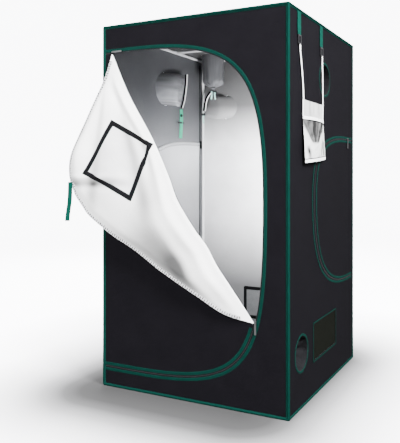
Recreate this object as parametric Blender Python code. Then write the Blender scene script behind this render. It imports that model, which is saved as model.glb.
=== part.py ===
# Indoor grow tent: a steel pole frame in a cloth cover, with the front door folded half open.
# Metres, +Z up. The origin is the middle of the underside, and the front faces -Y.
from math import cos, pi, radians, sin, tau
from types import SimpleNamespace

import bmesh
import bpy
from mathutils import Matrix, Vector, geometry

# Whole tent
tent_side = 1.0
tent_height = 1.8
cloth = 0.0012
gap = 0.0003
weld = 0.000001

# Binding folded over all twelve edges, and the flat piping along the zips
binding = 0.001
binding_leg = 0.0115
piping = 0.001
piping_width = 0.011

# Pole frame
pole_radius = 0.008
pole_wall = 0.001
socket_clearance = 0.0003
socket_wall = 0.0015
socket_lip = 0.0009
socket_lip_length = 0.006
socket_length = 0.048
socket_floor = 0.014
knuckle_round = 0.003
round_sides = 12
smooth_angle = radians(50)

# Hanging bars under the roof
bar_radius = 0.008
bar_hook_width = 0.022
bar_hook_wall = 0.0021
bar_hook_opening = radians(110)
bar_hook_steps = 14
bar_front_place = 0.20
bar_rear_place = 0.16

# Front door, its outline given at the middle of its zip
door_hinge_margin = 0.012
door_far_margin = 0.123
door_top_margin = 0.137
door_sill = 0.10
door_middle_share = 0.537
door_straight_shares = (0.194, 0.212)
door_handle_shares = (0.82, 0.84, 0.856, 0.915)
door_piping_offset = 0.0135
door_curve_points = 15

# Fold across the front door, from the zip at the top to the zip low on the far side
fold_top_run = 0.043
fold_foot_height = 0.398
fold_angle = radians(169)
fold_axis_offset = 0.001
flap_edge_clearance = 0.0015
flap_start = 0.0004
flap_end_share = 0.004
flap_roll = 0.008
flap_roll_width = 0.012
flap_roll_taper = 0.18
flap_calm_run = 0.74
flap_swell = 0.016
flap_folds = 2.5
flap_rows = 34
flap_columns = 11

# Window in the front door
window_width = 0.295
window_height = 0.28
window_right_of_middle = 0.0
window_below_door_top = 0.308
window_tape_width = 0.024
window_hem = 0.014
window_roundness = 0.012
tape = 0.001

# Webbing strap on the edge of the flap
tie_strap_width = 0.026
tie_strap_length = 0.20
tie_strap = 0.0015
tie_strap_run = 0.47

# Side doors: their zip, and the piping on the wall and on the door
side_hinge_margin = 0.030
side_far_reach = 0.164
side_top_drop = 0.549
side_bottom = 0.485
side_middle_share = 0.594
side_straight_shares = (0.20, 0.13)
side_handle_shares = (0.82, 0.64, 0.52, 0.86)
side_piping_offset = 0.0105
side_front_spread_share = 1.67

# Duct ports
port_flange = 0.012
port_hole_clearance = 0.0009
sleeve_ring_points = 24
right_upper_port_radius = 0.076
right_upper_port_run = -0.010
right_upper_port_drop = 0.267
right_lower_port_radius = 0.078
right_lower_port_run = -0.340
right_lower_port_height = 0.250
left_upper_port_radius = 0.095
left_upper_port_run = 0.055
left_upper_port_drop = 0.242
back_port_radius = 0.075
back_port_run = -0.325
back_port_drop = 0.315
roof_port_radius = 0.070
roof_port_inset = 0.145
roof_port_rear_inset = 0.115
roof_sleeve_length = 0.175
wall_sleeve_length = 0.105
open_sleeve_shares = ((0.5, 0.97, 0.0), (0.8, 0.84, 1.0), (1.0, 0.80, 1.0))
shut_sleeve_shares = ((0.25, 0.88, 1.0), (0.5, 0.5, 2.0))
shut_neck_share = 0.7
roof_sleeve_shares = ((0.25, 1.0, 0.0), (1.0, 0.94, 0.5))
roof_neck_share = 1.17
cinched_radius = 0.010
gathers = 8
gather_share = 0.07
bend_share = 0.4
half_turn_share = 0.48
swing_share = 0.6
left_sleeve_reach = 0.19
left_sleeve_lean = 0.033
sleeve_stand_off = 0.045
back_sleeve_reach = 0.115
back_sleeve_rise = 0.020
back_sleeve_lean = 0.022
back_sleeve_stand_off = 0.032
sleeve_mouth = 0.005

# Mesh vents
vent_width = 0.36
vent_height = 0.19
vent_sill = 0.163
vent_frame = 0.011
vent_right_run = -0.005
vent_back_run = -0.013

# Pouch that hangs on the right wall
pouch_width = 0.288
pouch_run = -0.191
pouch_hang_run = -0.220
pouch_top_drop = 0.395
pouch_foot_rise = 0.022
pouch_band = 0.080
pocket_height = 0.208
pocket_depth = 0.026
pocket_foot_share = 0.45
pocket_steps = 12
pouch_cloth = 0.0015
pouch_strap_width = 0.013
webbing = 0.0015
webbing_width = 0.044
webbing_length = 0.1035
webbing_spread = 0.020
clip_width = 0.034
clip_height = 0.042
clip_thickness = 0.004
clip_frame = 0.006

# Zip sliders and their pulls
slider_length = 0.016
slider_width = 0.0062
slider_height = 0.003
slider_bar = 0.0016
bridge_rise = 0.0028
pull_thickness = 0.0014
pull_length = 0.055
pull_width = 0.0085
pull_eye_width = 0.0028
pull_eye_length = 0.008
pull_corner = 0.0012
front_slider_run = 0.006
front_slider_offset = 0.006
side_slider_offset = 0.006
side_slider_run = 0.085

# Floor tray
tray_cloth = 0.0012
tray_height = 0.06
tray_clearance = 0.004

# Places worked out from the sizes above
half = tent_side / 2
cloth_depth = binding + gap
inner_depth = cloth_depth + cloth
middle_depth = cloth_depth + cloth / 2
piping_depth = cloth_depth - gap - piping
socket_radius = pole_radius + socket_clearance + socket_wall
lip_radius = socket_radius + socket_lip
pole_place = half - inner_depth - gap - lip_radius
top_rail_height = tent_height - inner_depth - gap - lip_radius
bottom_rail_height = cloth + gap + lip_radius
door_top = tent_height - door_top_margin
right_upper_port_height = tent_height - right_upper_port_drop
left_upper_port_height = tent_height - left_upper_port_drop
back_port_height = tent_height - back_port_drop
pouch_top = tent_height - pouch_top_drop
webbing_spacing = pouch_width + webbing_spread
door_hinge = door_hinge_margin - half
door_far = half - door_far_margin
side_hinge = half - side_hinge_margin
side_top = tent_height - side_top_drop
side_middle = side_bottom + side_middle_share * (side_top - side_bottom)

materials = {
    "outer_cloth": ((0.012, 0.012, 0.014), 0.75, 0.0),
    "inner_cloth": ((0.62, 0.63, 0.66), 0.35, 0.4),
    "green_binding": ((0.006, 0.095, 0.070), 0.6, 0.0),
    "green_webbing": ((0.006, 0.150, 0.100), 0.7, 0.0),
    "white_steel": ((0.75, 0.76, 0.78), 0.35, 0.0),
    "black_steel": ((0.03, 0.03, 0.032), 0.45, 0.2),
    "black_tape": ((0.008, 0.008, 0.009), 0.9, 0.0),
    "window_cover": ((0.55, 0.56, 0.57), 0.5, 0.0),
    "dark_sleeve": ((0.02, 0.02, 0.022), 0.8, 0.0),
    "vent_mesh": ((0.035, 0.045, 0.035), 0.85, 0.0),
    "pouch_film": ((0.70, 0.71, 0.73), 0.25, 0.1),
    "zip_metal": ((0.60, 0.60, 0.61), 0.3, 1.0),
    "clip_plastic": ((0.02, 0.02, 0.022), 0.4, 0.0),
}


def clear_scene():
    for thing in list(bpy.data.objects):
        bpy.data.objects.remove(thing)


def material(name):
    """The named material, made the first time it is asked for."""
    made = bpy.data.materials.get(name)
    if made is None:
        colour, roughness, metallic = materials[name]
        made = bpy.data.materials.new(name)
        made.use_nodes = True
        shader = made.node_tree.nodes["Principled BSDF"]
        shader.inputs["Base Color"].default_value = (*colour, 1.0)
        shader.inputs["Roughness"].default_value = roughness
        shader.inputs["Metallic"].default_value = metallic
    return made


def placed(name, data, place, material_name):
    """A new object with this mesh or curve, put at a matrix."""
    thing = bpy.data.objects.new(name, data)
    bpy.context.scene.collection.objects.link(thing)
    thing.matrix_world = place
    data.materials.clear()
    data.materials.append(material(material_name))
    return thing


def axes(right, up, out, origin):
    """A matrix from three directions and a place."""
    turned_to = Matrix((right, up, out)).transposed().to_4x4()
    return Matrix.Translation(origin) @ turned_to


def on_wall(wall, depth):
    """The plane of a wall, this deep inside the tent's outer face, with local +Z pointing out."""
    x, y, z = Vector((1, 0, 0)), Vector((0, 1, 0)), Vector((0, 0, 1))
    reach = half - depth
    if wall == "front":
        return axes(x, z, -y, -y * reach)
    if wall == "back":
        return axes(-x, z, y, y * reach)
    if wall == "right":
        return axes(y, z, x, x * reach)
    if wall == "left":
        return axes(-y, z, -x, -x * reach)
    return axes(x, y, z, z * (tent_height - depth))


def as_helper(thing):
    thing.hide_render = True
    thing.display_type = "WIRE"
    return thing


def combined(target, others, operation):
    """Adds or cuts helper objects with Boolean modifiers."""
    for other in others:
        as_helper(other)
        step = target.modifiers.new(other.name, "BOOLEAN")
        step.operation = operation
        step.object = other
    return target


def settled(thing, name, place, material_name):
    """A plain object with the mesh that another one's modifiers make. Its helpers are then removed."""
    bpy.context.view_layer.update()
    graph = bpy.context.evaluated_depsgraph_get()
    mesh = bpy.data.meshes.new_from_object(thing.evaluated_get(graph))
    if thing.type == "CURVE":
        shape = bmesh.new()
        shape.from_mesh(mesh)
        bmesh.ops.remove_doubles(shape, verts=shape.verts, dist=weld)
        shape.to_mesh(mesh)
        shape.free()
    helpers = [step.object for step in thing.modifiers if step.type == "BOOLEAN"]
    for helper in helpers:
        bpy.data.objects.remove(helper)
    bpy.data.objects.remove(thing)
    mesh.name = name
    return placed(name, mesh, place, material_name)


def turned(profile, sides=round_sides, looped=False):
    """A closed mesh turned about Z from (radius, height) points that end on the axis, or loop back."""
    shape = bmesh.new()
    rings = []
    for radius, height in profile:
        turns = [tau * step / sides for step in range(sides)] if radius else [0]
        rings.append([shape.verts.new((radius * cos(a), radius * sin(a), height)) for a in turns])
    pairs = list(zip(rings, rings[1:]))
    if looped:
        pairs.append((rings[-1], rings[0]))
    for lower, upper in pairs:
        for step in range(sides):
            after = (step + 1) % sides
            if len(lower) == 1:
                shape.faces.new((lower[0], upper[after], upper[step]))
            elif len(upper) == 1:
                shape.faces.new((lower[step], lower[after], upper[0]))
            else:
                shape.faces.new((lower[step], lower[after], upper[after], upper[step]))
    bmesh.ops.recalc_face_normals(shape, faces=shape.faces)
    mesh = bpy.data.meshes.new("turned")
    shape.to_mesh(mesh)
    shape.free()
    mesh.shade_smooth()
    mesh.set_sharp_from_angle(angle=smooth_angle)
    return mesh


def rod(radius, low, high):
    """Profile of a solid round bar along Z."""
    return [(0, low), (radius, low), (radius, high), (0, high)]


def pipe(radius, wall, low, high):
    """Looped profile of an open pipe along Z."""
    return [(radius, low), (radius, high), (radius - wall, high), (radius - wall, low)]


def plate(name, loops, thickness, place, material_name):
    """A flat sheet with holes, drawn in the plane of the matrix with its thickness shared across it."""
    drawn = bpy.data.curves.new(name, "CURVE")
    drawn.dimensions = "2D"
    drawn.fill_mode = "BOTH"
    drawn.extrude = thickness / 2
    for loop in loops:
        line = drawn.splines.new("POLY")
        line.points.add(len(loop) - 1)
        for point, (x, y) in zip(line.points, loop):
            point.co = (x, y, 0, 1)
        line.use_cyclic_u = True
    return placed(name, drawn, place, material_name)


def rectangle(width, height, middle_x=0, middle_y=0):
    return rounded(width, height, 0, middle_x, middle_y)


def rounded(width, height, corner, middle_x=0, middle_y=0, steps=4):
    """Points of a rectangle, its corners rounded where they have a radius."""
    points = []
    reach_x, reach_y = width / 2 - corner, height / 2 - corner
    for quarter, (side_x, side_y) in enumerate(((1, 1), (-1, 1), (-1, -1), (1, -1))):
        centre = Vector((middle_x + side_x * reach_x, middle_y + side_y * reach_y))
        turns = [(quarter + step / steps) * pi / 2 for step in range(steps + 1)] if corner else [0]
        points += [centre + corner * Vector((cos(turn), sin(turn))) for turn in turns]
    return points


def circle(radius, middle_x, middle_y, sides=sleeve_ring_points):
    turns = [tau * step / sides for step in range(sides)]
    return [Vector((middle_x + radius * cos(turn), middle_y + radius * sin(turn))) for turn in turns]


def mirrored(points):
    return [Vector((-x, y)) for x, y in points]


def door_path(hinge, far, top, bottom, middle, straight_shares, handle_shares):
    """The zip of a D-shaped door: from its hinge side along the top, round the far side and back below."""
    width = far - hinge
    top_run, top_drop, bottom_drop, bottom_run = handle_shares
    top_turn = Vector((hinge + straight_shares[0] * width, top))
    bottom_turn = Vector((hinge + straight_shares[1] * width, bottom))
    side = Vector((far, middle))
    corner = Vector((far, top))
    upper = geometry.interpolate_bezier(
        top_turn, top_turn.lerp(corner, top_run), side.lerp(corner, top_drop), side, door_curve_points)
    corner = Vector((far, bottom))
    lower = geometry.interpolate_bezier(
        side, side.lerp(corner, bottom_drop), bottom_turn.lerp(corner, bottom_run), bottom_turn,
        door_curve_points)
    return [Vector((hinge, top)), *upper, *lower[1:], Vector((hinge, bottom))]


def grown(path, distance):
    """A door path moved outwards, away from the middle of the door."""
    outwards = 1 if path[len(path) // 2].x > path[0].x else -1
    moved = []
    for place, here in enumerate(path):
        before = path[max(place - 1, 0)]
        after = path[min(place + 1, len(path) - 1)]
        along = (after - before).normalized()
        moved.append(here + outwards * distance * Vector((-along.y, along.x)))
    return moved


def door_loop(path, growth):
    """The closed outline of a door, or of its hole, this much larger than its zip on every side."""
    loop = grown(path, growth)
    away = -1 if path[len(path) // 2].x > path[0].x else 1
    for end in (0, -1):
        loop[end] = loop[end] + Vector((away * growth, 0))
    return loop


def ribbon(path, inner, outer, start=0):
    """The outline of a strip that follows a door path, or its end, between two distances from it."""
    return grown(path, outer)[start:] + grown(path, inner)[start:][::-1]


def clipped(loop, origin, across, clearance):
    """The part of a loop on one side of a line, this far from it."""
    kept = []
    for here, there in zip(loop, loop[1:] + loop[:1]):
        near = (here - origin).dot(across) - clearance
        far = (there - origin).dot(across) - clearance
        if near >= 0:
            kept.append(here)
        if near * far < 0:
            kept.append(here.lerp(there, near / (near - far)))
    return kept


def skin(name, rings, thickness, place, material_name, capped=False):
    """A sheet lofted through rings of points, given its thickness half to each side."""
    shape = bmesh.new()
    made = [[shape.verts.new(point) for point in ring] for ring in rings]
    for lower, upper in zip(made, made[1:]):
        for step in range(len(lower)):
            after = (step + 1) % len(lower)
            shape.faces.new((lower[step], lower[after], upper[after], upper[step]))
    if capped:
        shape.faces.new(made[-1])
    bmesh.ops.recalc_face_normals(shape, faces=shape.faces)
    mesh = bpy.data.meshes.new(name)
    shape.to_mesh(mesh)
    shape.free()
    mesh.shade_smooth()
    mesh.set_sharp_from_angle(angle=smooth_angle)
    thing = placed(name, mesh, place, material_name)
    thick = thing.modifiers.new("thickness", "SOLIDIFY")
    thick.solidify_mode = "NON_MANIFOLD"
    thick.nonmanifold_thickness_mode = "CONSTRAINTS"
    thick.thickness = thickness
    thick.offset = 0
    return thing


def connector_mesh():
    """A three-way corner: sockets along -X, -Y and -Z from a moulded knuckle, each with a rolled lip."""
    start = lip_radius - knuckle_round
    profile = [
        (0, start),
        (socket_radius, start),
        (socket_radius, socket_length - socket_lip_length),
        (lip_radius, socket_length - socket_lip_length / 2),
        (lip_radius, socket_length),
        (0, socket_length),
    ]
    bore = rod(pole_radius + socket_clearance, socket_floor, socket_length + pole_radius)
    ways = [Matrix.Rotation(pi, 4, "X"), Matrix.Rotation(-pi / 2, 4, "Y"), Matrix.Rotation(pi / 2, 4, "X")]
    sockets = [placed("socket", turned(profile), way, "black_steel") for way in ways]
    bores = [placed("bore", turned(bore), way, "black_steel") for way in ways]
    shape = bmesh.new()
    bmesh.ops.create_cube(shape, size=2 * lip_radius)
    bmesh.ops.bevel(shape, geom=shape.edges[:], offset=knuckle_round, segments=1, affect="EDGES")
    mesh = bpy.data.meshes.new("knuckle")
    shape.to_mesh(mesh)
    shape.free()
    whole = combined(placed("knuckle", mesh, Matrix.Identity(4), "black_steel"), sockets, "UNION")
    combined(whole, bores, "DIFFERENCE")
    return settled(whole, "corner_connector", Matrix.Identity(4), "black_steel")


def frame():
    """Eight corner connectors, and the posts and rails that plug in as far as their socket floors."""
    pattern = connector_mesh()
    corners = ((1, 1), (-1, 1), (-1, -1), (1, -1))
    side_names = {1: "right", -1: "left"}
    end_names = {1: "back", -1: "front"}
    for level, height, over in (
        ("top", top_rail_height, Matrix.Identity(4)),
        ("bottom", bottom_rail_height, Matrix.Rotation(pi, 4, (1, 1, 0))),
    ):
        for quarter, (side, end) in enumerate(corners):
            where = Matrix.Translation((side * pole_place, end * pole_place, height))
            facing = Matrix.Rotation(quarter * pi / 2, 4, "Z")
            name = f"connector_{end_names[end]}_{side_names[side]}_{level}"
            placed(name, pattern.data, where @ facing @ over, "black_steel")
    bpy.data.objects.remove(pattern)
    reach = pole_place - socket_floor - gap
    rail = pipe(pole_radius, pole_wall, -reach, reach)
    along_x = Matrix.Rotation(pi / 2, 4, "Y")
    along_y = Matrix.Rotation(pi / 2, 4, "X")
    for level, height in (("top", top_rail_height), ("bottom", bottom_rail_height)):
        for end in (-1, 1):
            where = Matrix.Translation((0, end * pole_place, height))
            name = f"{level}_rail_{end_names[end]}"
            placed(name, turned(rail, looped=True), where @ along_x, "white_steel")
        for side in (-1, 1):
            where = Matrix.Translation((side * pole_place, 0, height))
            name = f"{level}_rail_{side_names[side]}"
            placed(name, turned(rail, looped=True), where @ along_y, "white_steel")
    low = bottom_rail_height + socket_floor + gap
    high = top_rail_height - socket_floor - gap
    for side, end in corners:
        post = turned(pipe(pole_radius, pole_wall, low, high), looped=True)
        where = Matrix.Translation((side * pole_place, end * pole_place, 0))
        placed(f"post_{end_names[end]}_{side_names[side]}", post, where, "white_steel")


def hook_outline():
    """The C of a hanging bar's hook, open below, in the plane across the rail."""
    inner = pole_radius + socket_clearance
    outer = inner + bar_hook_wall
    start = -pi / 2 + bar_hook_opening / 2
    turns = [start + (tau - bar_hook_opening) * step / bar_hook_steps for step in range(bar_hook_steps + 1)]
    return [Vector((outer * cos(a), outer * sin(a))) for a in turns] + [
        Vector((inner * cos(a), inner * sin(a))) for a in reversed(turns)
    ]


def hanging_bar(name, place_y):
    """A bar across the tent whose two hooks ride on the side rails."""
    where = Matrix.Translation((0, place_y, top_rail_height))
    half_bar = pole_place - pole_radius - socket_clearance - bar_hook_wall / 2
    along_x = Matrix.Rotation(pi / 2, 4, "Y")
    bar = placed("bar", turned(rod(bar_radius, -half_bar, half_bar)), along_x, "white_steel")
    upright = Matrix.Rotation(pi / 2, 4, "X")
    hooks = []
    for side in (-1, 1):
        across = Matrix.Translation((side * pole_place, 0, 0)) @ upright
        hooks.append(plate("hook", [hook_outline()], bar_hook_width, across, "white_steel"))
    hook_meshes = [settled(hook, "hook_mesh", hook.matrix_world.copy(), "white_steel") for hook in hooks]
    whole = combined(bar, hook_meshes, "UNION")
    turned_bar = whole.matrix_world.copy()
    settled(whole, name, where @ turned_bar, "white_steel")


def edge_binding():
    """One strip of binding folded over all twelve edges: a box with each face cut back to its rim."""
    shape = bmesh.new()
    bmesh.ops.create_cube(shape, size=1)
    bmesh.ops.scale(shape, vec=(tent_side, tent_side, tent_height), verts=shape.verts)
    bmesh.ops.translate(shape, vec=(0, 0, tent_height / 2), verts=shape.verts)
    faces = list(shape.faces)
    bmesh.ops.inset_individual(shape, faces=faces, thickness=binding_leg)
    bmesh.ops.delete(shape, geom=faces, context="FACES")
    mesh = bpy.data.meshes.new("edge_binding")
    shape.to_mesh(mesh)
    shape.free()
    thing = placed("edge_binding", mesh, Matrix.Identity(4), "green_binding")
    thick = thing.modifiers.new("thickness", "SOLIDIFY")
    thick.thickness = binding
    thick.offset = -1
    thick.use_even_offset = True
    return thing


def front_path():
    middle = door_sill + door_middle_share * (door_top - door_sill)
    return door_path(
        door_hinge, door_far, door_top, door_sill, middle, door_straight_shares, door_handle_shares)


def side_path(growth=0):
    """The zip of a side door on the right wall, or a line beside it that stands off more at the front."""
    far = -side_far_reach - growth * (1 + side_front_spread_share)
    return door_path(
        side_hinge, far, side_top + growth, side_bottom - growth, side_middle,
        side_straight_shares, side_handle_shares)


def shifted(points, x, y=0):
    return [Vector((point[0] + x, point[1] + y)) for point in points]


def port_hole(radius, run, height):
    return circle(radius + port_hole_clearance + piping / 2, run, height)


def vent_hole(run):
    """The hole behind a mesh vent, clear of the rim that the mesh turns in by."""
    margin = piping + 2 * gap
    width = vent_width - 2 * vent_frame + margin
    return rectangle(width, vent_height - 2 * vent_frame + margin, run, vent_sill + vent_height / 2)


def walls():
    """Four walls, the roof and the floor, each a sheet of cloth with its door, port and vent holes."""
    rise = tent_height - 2 * cloth_depth
    broad = rectangle(2 * (half - cloth_depth), rise, 0, tent_height / 2)
    narrow = rectangle(2 * (half - inner_depth - gap), rise, 0, tent_height / 2)
    front_hole = door_loop(front_path(), gap / 2)
    side_hole = door_loop(side_path(), gap / 2)
    right_holes = [
        side_hole,
        port_hole(right_upper_port_radius, right_upper_port_run, right_upper_port_height),
        port_hole(right_lower_port_radius, right_lower_port_run, right_lower_port_height),
        vent_hole(vent_right_run),
    ]
    left_holes = [
        mirrored(side_hole),
        port_hole(left_upper_port_radius, -left_upper_port_run, left_upper_port_height),
    ]
    back_holes = [port_hole(back_port_radius, -back_port_run, back_port_height), vent_hole(-vent_back_run)]
    plate("front_wall", [broad, front_hole], cloth, on_wall("front", middle_depth), "outer_cloth")
    plate("back_wall", [broad, *back_holes], cloth, on_wall("back", middle_depth), "outer_cloth")
    plate("right_wall", [narrow, *right_holes], cloth, on_wall("right", middle_depth), "outer_cloth")
    plate("left_wall", [narrow, *left_holes], cloth, on_wall("left", middle_depth), "outer_cloth")
    lid = rectangle(2 * (half - inner_depth - gap), 2 * (half - inner_depth - gap))
    roof_hole = port_hole(roof_port_radius, roof_port_inset - half, half - roof_port_rear_inset)
    plate("roof_panel", [lid, roof_hole], cloth, on_wall("roof", middle_depth), "outer_cloth")
    base = rectangle(2 * (half - binding_leg - gap), 2 * (half - binding_leg - gap))
    plate("floor_panel", [base], cloth, Matrix.Translation((0, 0, cloth / 2)), "inner_cloth")


def floor_tray():
    """A shallow tray that lies loose on the floor, between the corner posts."""
    side = pole_place - lip_radius - tray_clearance
    shape = bmesh.new()
    low, high = ([shape.verts.new((x * side, y * side, z)) for x, y in ((-1, -1), (1, -1), (1, 1), (-1, 1))]
                 for z in (0, tray_height))
    shape.faces.new(low[::-1])
    for step in range(4):
        shape.faces.new((low[step], low[(step + 1) % 4], high[(step + 1) % 4], high[step]))
    mesh = bpy.data.meshes.new("floor_tray")
    shape.to_mesh(mesh)
    shape.free()
    thing = placed("floor_tray", mesh, Matrix.Translation((0, 0, cloth + gap)), "inner_cloth")
    thick = thing.modifiers.new("thickness", "SOLIDIFY")
    thick.thickness = tray_cloth
    thick.offset = -1
    thick.use_even_offset = True


def fold_frame():
    """The plane of the shut front door from the top of the fold: X down the fold, Y across, Z outwards."""
    path = front_path()
    top = Vector((door_hinge + fold_top_run, door_top))
    above, below = next(
        (here, there) for here, there in zip(path, path[1:]) if there.y <= fold_foot_height <= here.y)
    foot = below.lerp(above, (fold_foot_height - below.y) / (above.y - below.y))
    along = (foot - top).normalized()
    across = Vector((-along.y, along.x))
    turn = Matrix(((along.x, across.x, 0), (along.y, across.y, 0), (0, 0, 1))).to_4x4()
    shut = on_wall("front", middle_depth - fold_axis_offset) @ Matrix.Translation((*top, 0)) @ turn
    return SimpleNamespace(
        top=top, along=along, across=across, length=(foot - top).length, turn=turn,
        hung=shut @ Matrix.Rotation(fold_angle, 4, "X"))


def in_fold(fold, point):
    """A place on the shut door, measured along the fold and out from it."""
    return Vector(((point - fold.top).dot(fold.along), (point - fold.top).dot(fold.across)))


def with_origin(thing, offset):
    """The same solid as a plain mesh whose origin is moved to its hinge."""
    name, place, material_name = thing.name, thing.matrix_world.copy(), thing.data.materials[0].name
    thing.name = "moved"
    plain = settled(thing, name, place @ Matrix.Translation(offset), material_name)
    plain.data.transform(Matrix.Translation(-Vector(offset)))
    return plain


def front_door_lower():
    """The part of the front door that is still zipped, and the piping on both sides of the zip."""
    fold = fold_frame()
    path = front_path()
    outline = clipped(door_loop(path, -gap / 2), fold.top, -fold.across, flap_start)
    plate("front_door_lower", [outline], cloth, on_wall("front", middle_depth), "outer_cloth")
    zipped = [in_fold(fold, point).y < -piping_width and point.y < fold_foot_height for point in path]
    near, far = door_piping_offset - piping_width / 2, door_piping_offset + piping_width / 2
    inner = ribbon(path, -far, -near, zipped.index(True))
    outer = ribbon(path, near, far)
    trim_place = on_wall("front", piping_depth + piping / 2)
    plate("front_door_lower_piping", [inner], piping, trim_place, "green_binding")
    plate("front_door_piping", [outer], piping, trim_place, "green_binding")


def flap_rise(run, out, reach, length):
    """How far the flap's cloth stands off its flat: a roll beside the fold, and soft folds lower down."""
    taper = min(1, run / flap_roll_taper, (length - run) / flap_roll_taper)
    roll = flap_roll * taper * min(1, out / flap_roll_width)
    lower_share = max(0, run - flap_calm_run) / (length - flap_calm_run)
    swell = flap_swell * lower_share * (1 - lower_share) * 4 * (1 - cos(tau * flap_folds * lower_share)) / 2
    return swell * out / reach - roll


def flap_edge(run, outline):
    """How far the flap reaches from the fold at one place along it."""
    crossings = [
        a.y + (b.y - a.y) * (run - a.x) / (b.x - a.x)
        for a, b in zip(outline, outline[1:]) if min(a.x, b.x) <= run < max(a.x, b.x)
    ]
    return max(crossings)


def front_door_flap():
    """The folded part of the front door, hung on the fold, with the window's hole in it."""
    fold = fold_frame()
    loop = door_loop(front_path(), -flap_edge_clearance)
    outline = [in_fold(fold, point) for point in loop]
    shape = bmesh.new()
    rows = []
    for row in range(flap_rows + 1):
        run = fold.length * (flap_end_share + (1 - 2 * flap_end_share) * row / flap_rows)
        reach = flap_edge(run, outline)
        second = min(flap_roll_width, reach / 2)
        spacing = (reach - second) / (flap_columns - 1)
        outs = [flap_start] + [second + spacing * step for step in range(flap_columns)]
        rises = [flap_rise(run, out, reach, fold.length) - fold_axis_offset for out in outs]
        rows.append([shape.verts.new((run, out, rise)) for out, rise in zip(outs, rises)])
    for lower, upper in zip(rows, rows[1:]):
        for step in range(flap_columns):
            shape.faces.new((lower[step], upper[step], upper[step + 1], lower[step + 1]))
    mesh = bpy.data.meshes.new("front_door_flap")
    shape.to_mesh(mesh)
    shape.free()
    mesh.shade_smooth()
    flap = placed("front_door_flap", mesh, fold.hung, "inner_cloth")
    thick = flap.modifiers.new("thickness", "SOLIDIFY")
    thick.thickness = cloth
    thick.offset = 0
    thick.use_even_offset = True
    margin = 2 * (window_tape_width + window_hem)
    hole = rounded(window_width - margin, window_height - margin, window_roundness)
    cutter = plate("window_hole", [hole], flap_roll, window_plane(fold), "black_tape")
    combined(flap, [with_origin(cutter, (0, 0, 0))], "DIFFERENCE")
    front_window(fold)
    tie_strap_on_flap(fold, outline)


def window_plane(fold):
    """The middle of the window in the flap's cloth, level with the window's own sides."""
    middle = Vector((window_right_of_middle, door_top - window_below_door_top))
    place = Matrix.Translation((*in_fold(fold, middle), -fold_axis_offset - flap_roll))
    return fold.hung @ place @ fold.turn.inverted()


def front_window(fold):
    """The tape frame on the inner face of the flap, and the cover in it, hinged along its lower edge."""
    inner_width = window_width - 2 * window_tape_width
    inner_height = window_height - 2 * window_tape_width
    level = window_plane(fold) @ Matrix.Translation((0, 0, -(cloth / 2 + gap + tape / 2)))
    frame_loops = [rectangle(window_width, window_height), rectangle(inner_width, inner_height)]
    plate("front_window_tape", frame_loops, tape, level, "black_tape")
    cover_loop = rectangle(inner_width - 2 * gap, inner_height - 2 * gap)
    cover = plate("front_window_cover", [cover_loop], tape, level, "window_cover")
    with_origin(cover, (0, gap - inner_height / 2, -tape / 2 - gap))


def tie_strap_on_flap(fold, outline):
    """The webbing strap that hangs behind the flap's outer edge and ties the rolled door."""
    edge = flap_edge(tie_strap_run, outline)
    down = (fold.hung.inverted().to_3x3() @ Vector((0, 0, -1))).xy.normalized()
    turn = Matrix(((down.y, down.x, 0), (-down.x, down.y, 0), (0, 0, 1))).to_4x4()
    level = -fold_axis_offset - flap_roll + cloth / 2 + gap + tie_strap / 2
    place = fold.hung @ Matrix.Translation((tie_strap_run, edge, level)) @ turn
    strip = rectangle(tie_strap_width, tie_strap_length, 0, tie_strap_length / 2 - tie_strap_width)
    plate("door_tie_strap", [strip], tie_strap, place, "green_webbing")


def side_doors():
    """The two side doors, shut. The right one hinges on its inner face, the left one on its outer face."""
    for side, turn_over in (("right", list), ("left", mirrored)):
        wall_plane = on_wall(side, middle_depth)
        trim_plane = on_wall(side, piping_depth + piping / 2)
        hinge_run = side_hinge if side == "right" else -side_hinge
        outline = turn_over(door_loop(side_path(), -gap / 2))
        door = plate(f"{side}_side_door", [shifted(outline, -hinge_run)], cloth,
                     wall_plane @ Matrix.Translation((hinge_run, 0, 0)), "outer_cloth")
        outer_face = middle_depth - piping_depth + gap
        with_origin(door, (0, 0, -cloth / 2 if side == "right" else outer_face))
        for name, growth in (("wall", side_piping_offset), ("door", -side_piping_offset)):
            strip = turn_over(ribbon(side_path(growth), -piping_width / 2, piping_width / 2))
            plate(f"{side}_side_{name}_piping", [strip], piping, trim_plane, "green_binding")


def hoop(centre, across, upward, swell=0):
    """A ring of points round a centre, gathered into pleats by this share of its size."""
    turns = [tau * step / sleeve_ring_points for step in range(sleeve_ring_points)]
    return [
        centre + (across * cos(turn) + upward * sin(turn)) * (1 + swell * cos(gathers * turn))
        for turn in turns
    ]


def port(name, wall, run, height, radius, stages, material_name):
    """A duct port: a stitched flange on the outer face, and a sleeve lofted inwards through stages."""
    place = on_wall(wall, piping_depth + piping / 2) @ Matrix.Translation((run, height, 0))
    right, up = Vector((1, 0, 0)), Vector((0, 1, 0))
    through = Vector((0, 0, -(inner_depth + gap + piping)))
    rings = [
        hoop(Vector(), right * (radius + port_flange), up * (radius + port_flange)),
        hoop(Vector(), right * radius, up * radius),
        hoop(through, right * radius, up * radius),
    ]
    for centre, across, upward, swell in stages:
        rings.append(hoop(Vector(centre), Vector(across), Vector(upward), swell))
    return skin(name, rings, piping, place, material_name)


def straight_sleeve(radius, length, shares):
    """Stages of a sleeve that runs straight in. A share gives a depth, a size and how far it is gathered."""
    return [
        ((0, 0, -depth * length), (size * radius, 0, 0), (0, size * radius, 0), gathered * gather_share)
        for depth, size, gathered in shares
    ]


def cinched_end(neck_depth, end_depth):
    """Stages of the end of a sleeve, tied shut at its neck and flared past the tie."""
    return [
        ((0, 0, -depth), (size, 0, 0), (0, size, 0), gathered * gather_share)
        for depth, size, gathered in ((neck_depth, cinched_radius, 1), (end_depth, 2 * cinched_radius, 3))
    ]


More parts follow.
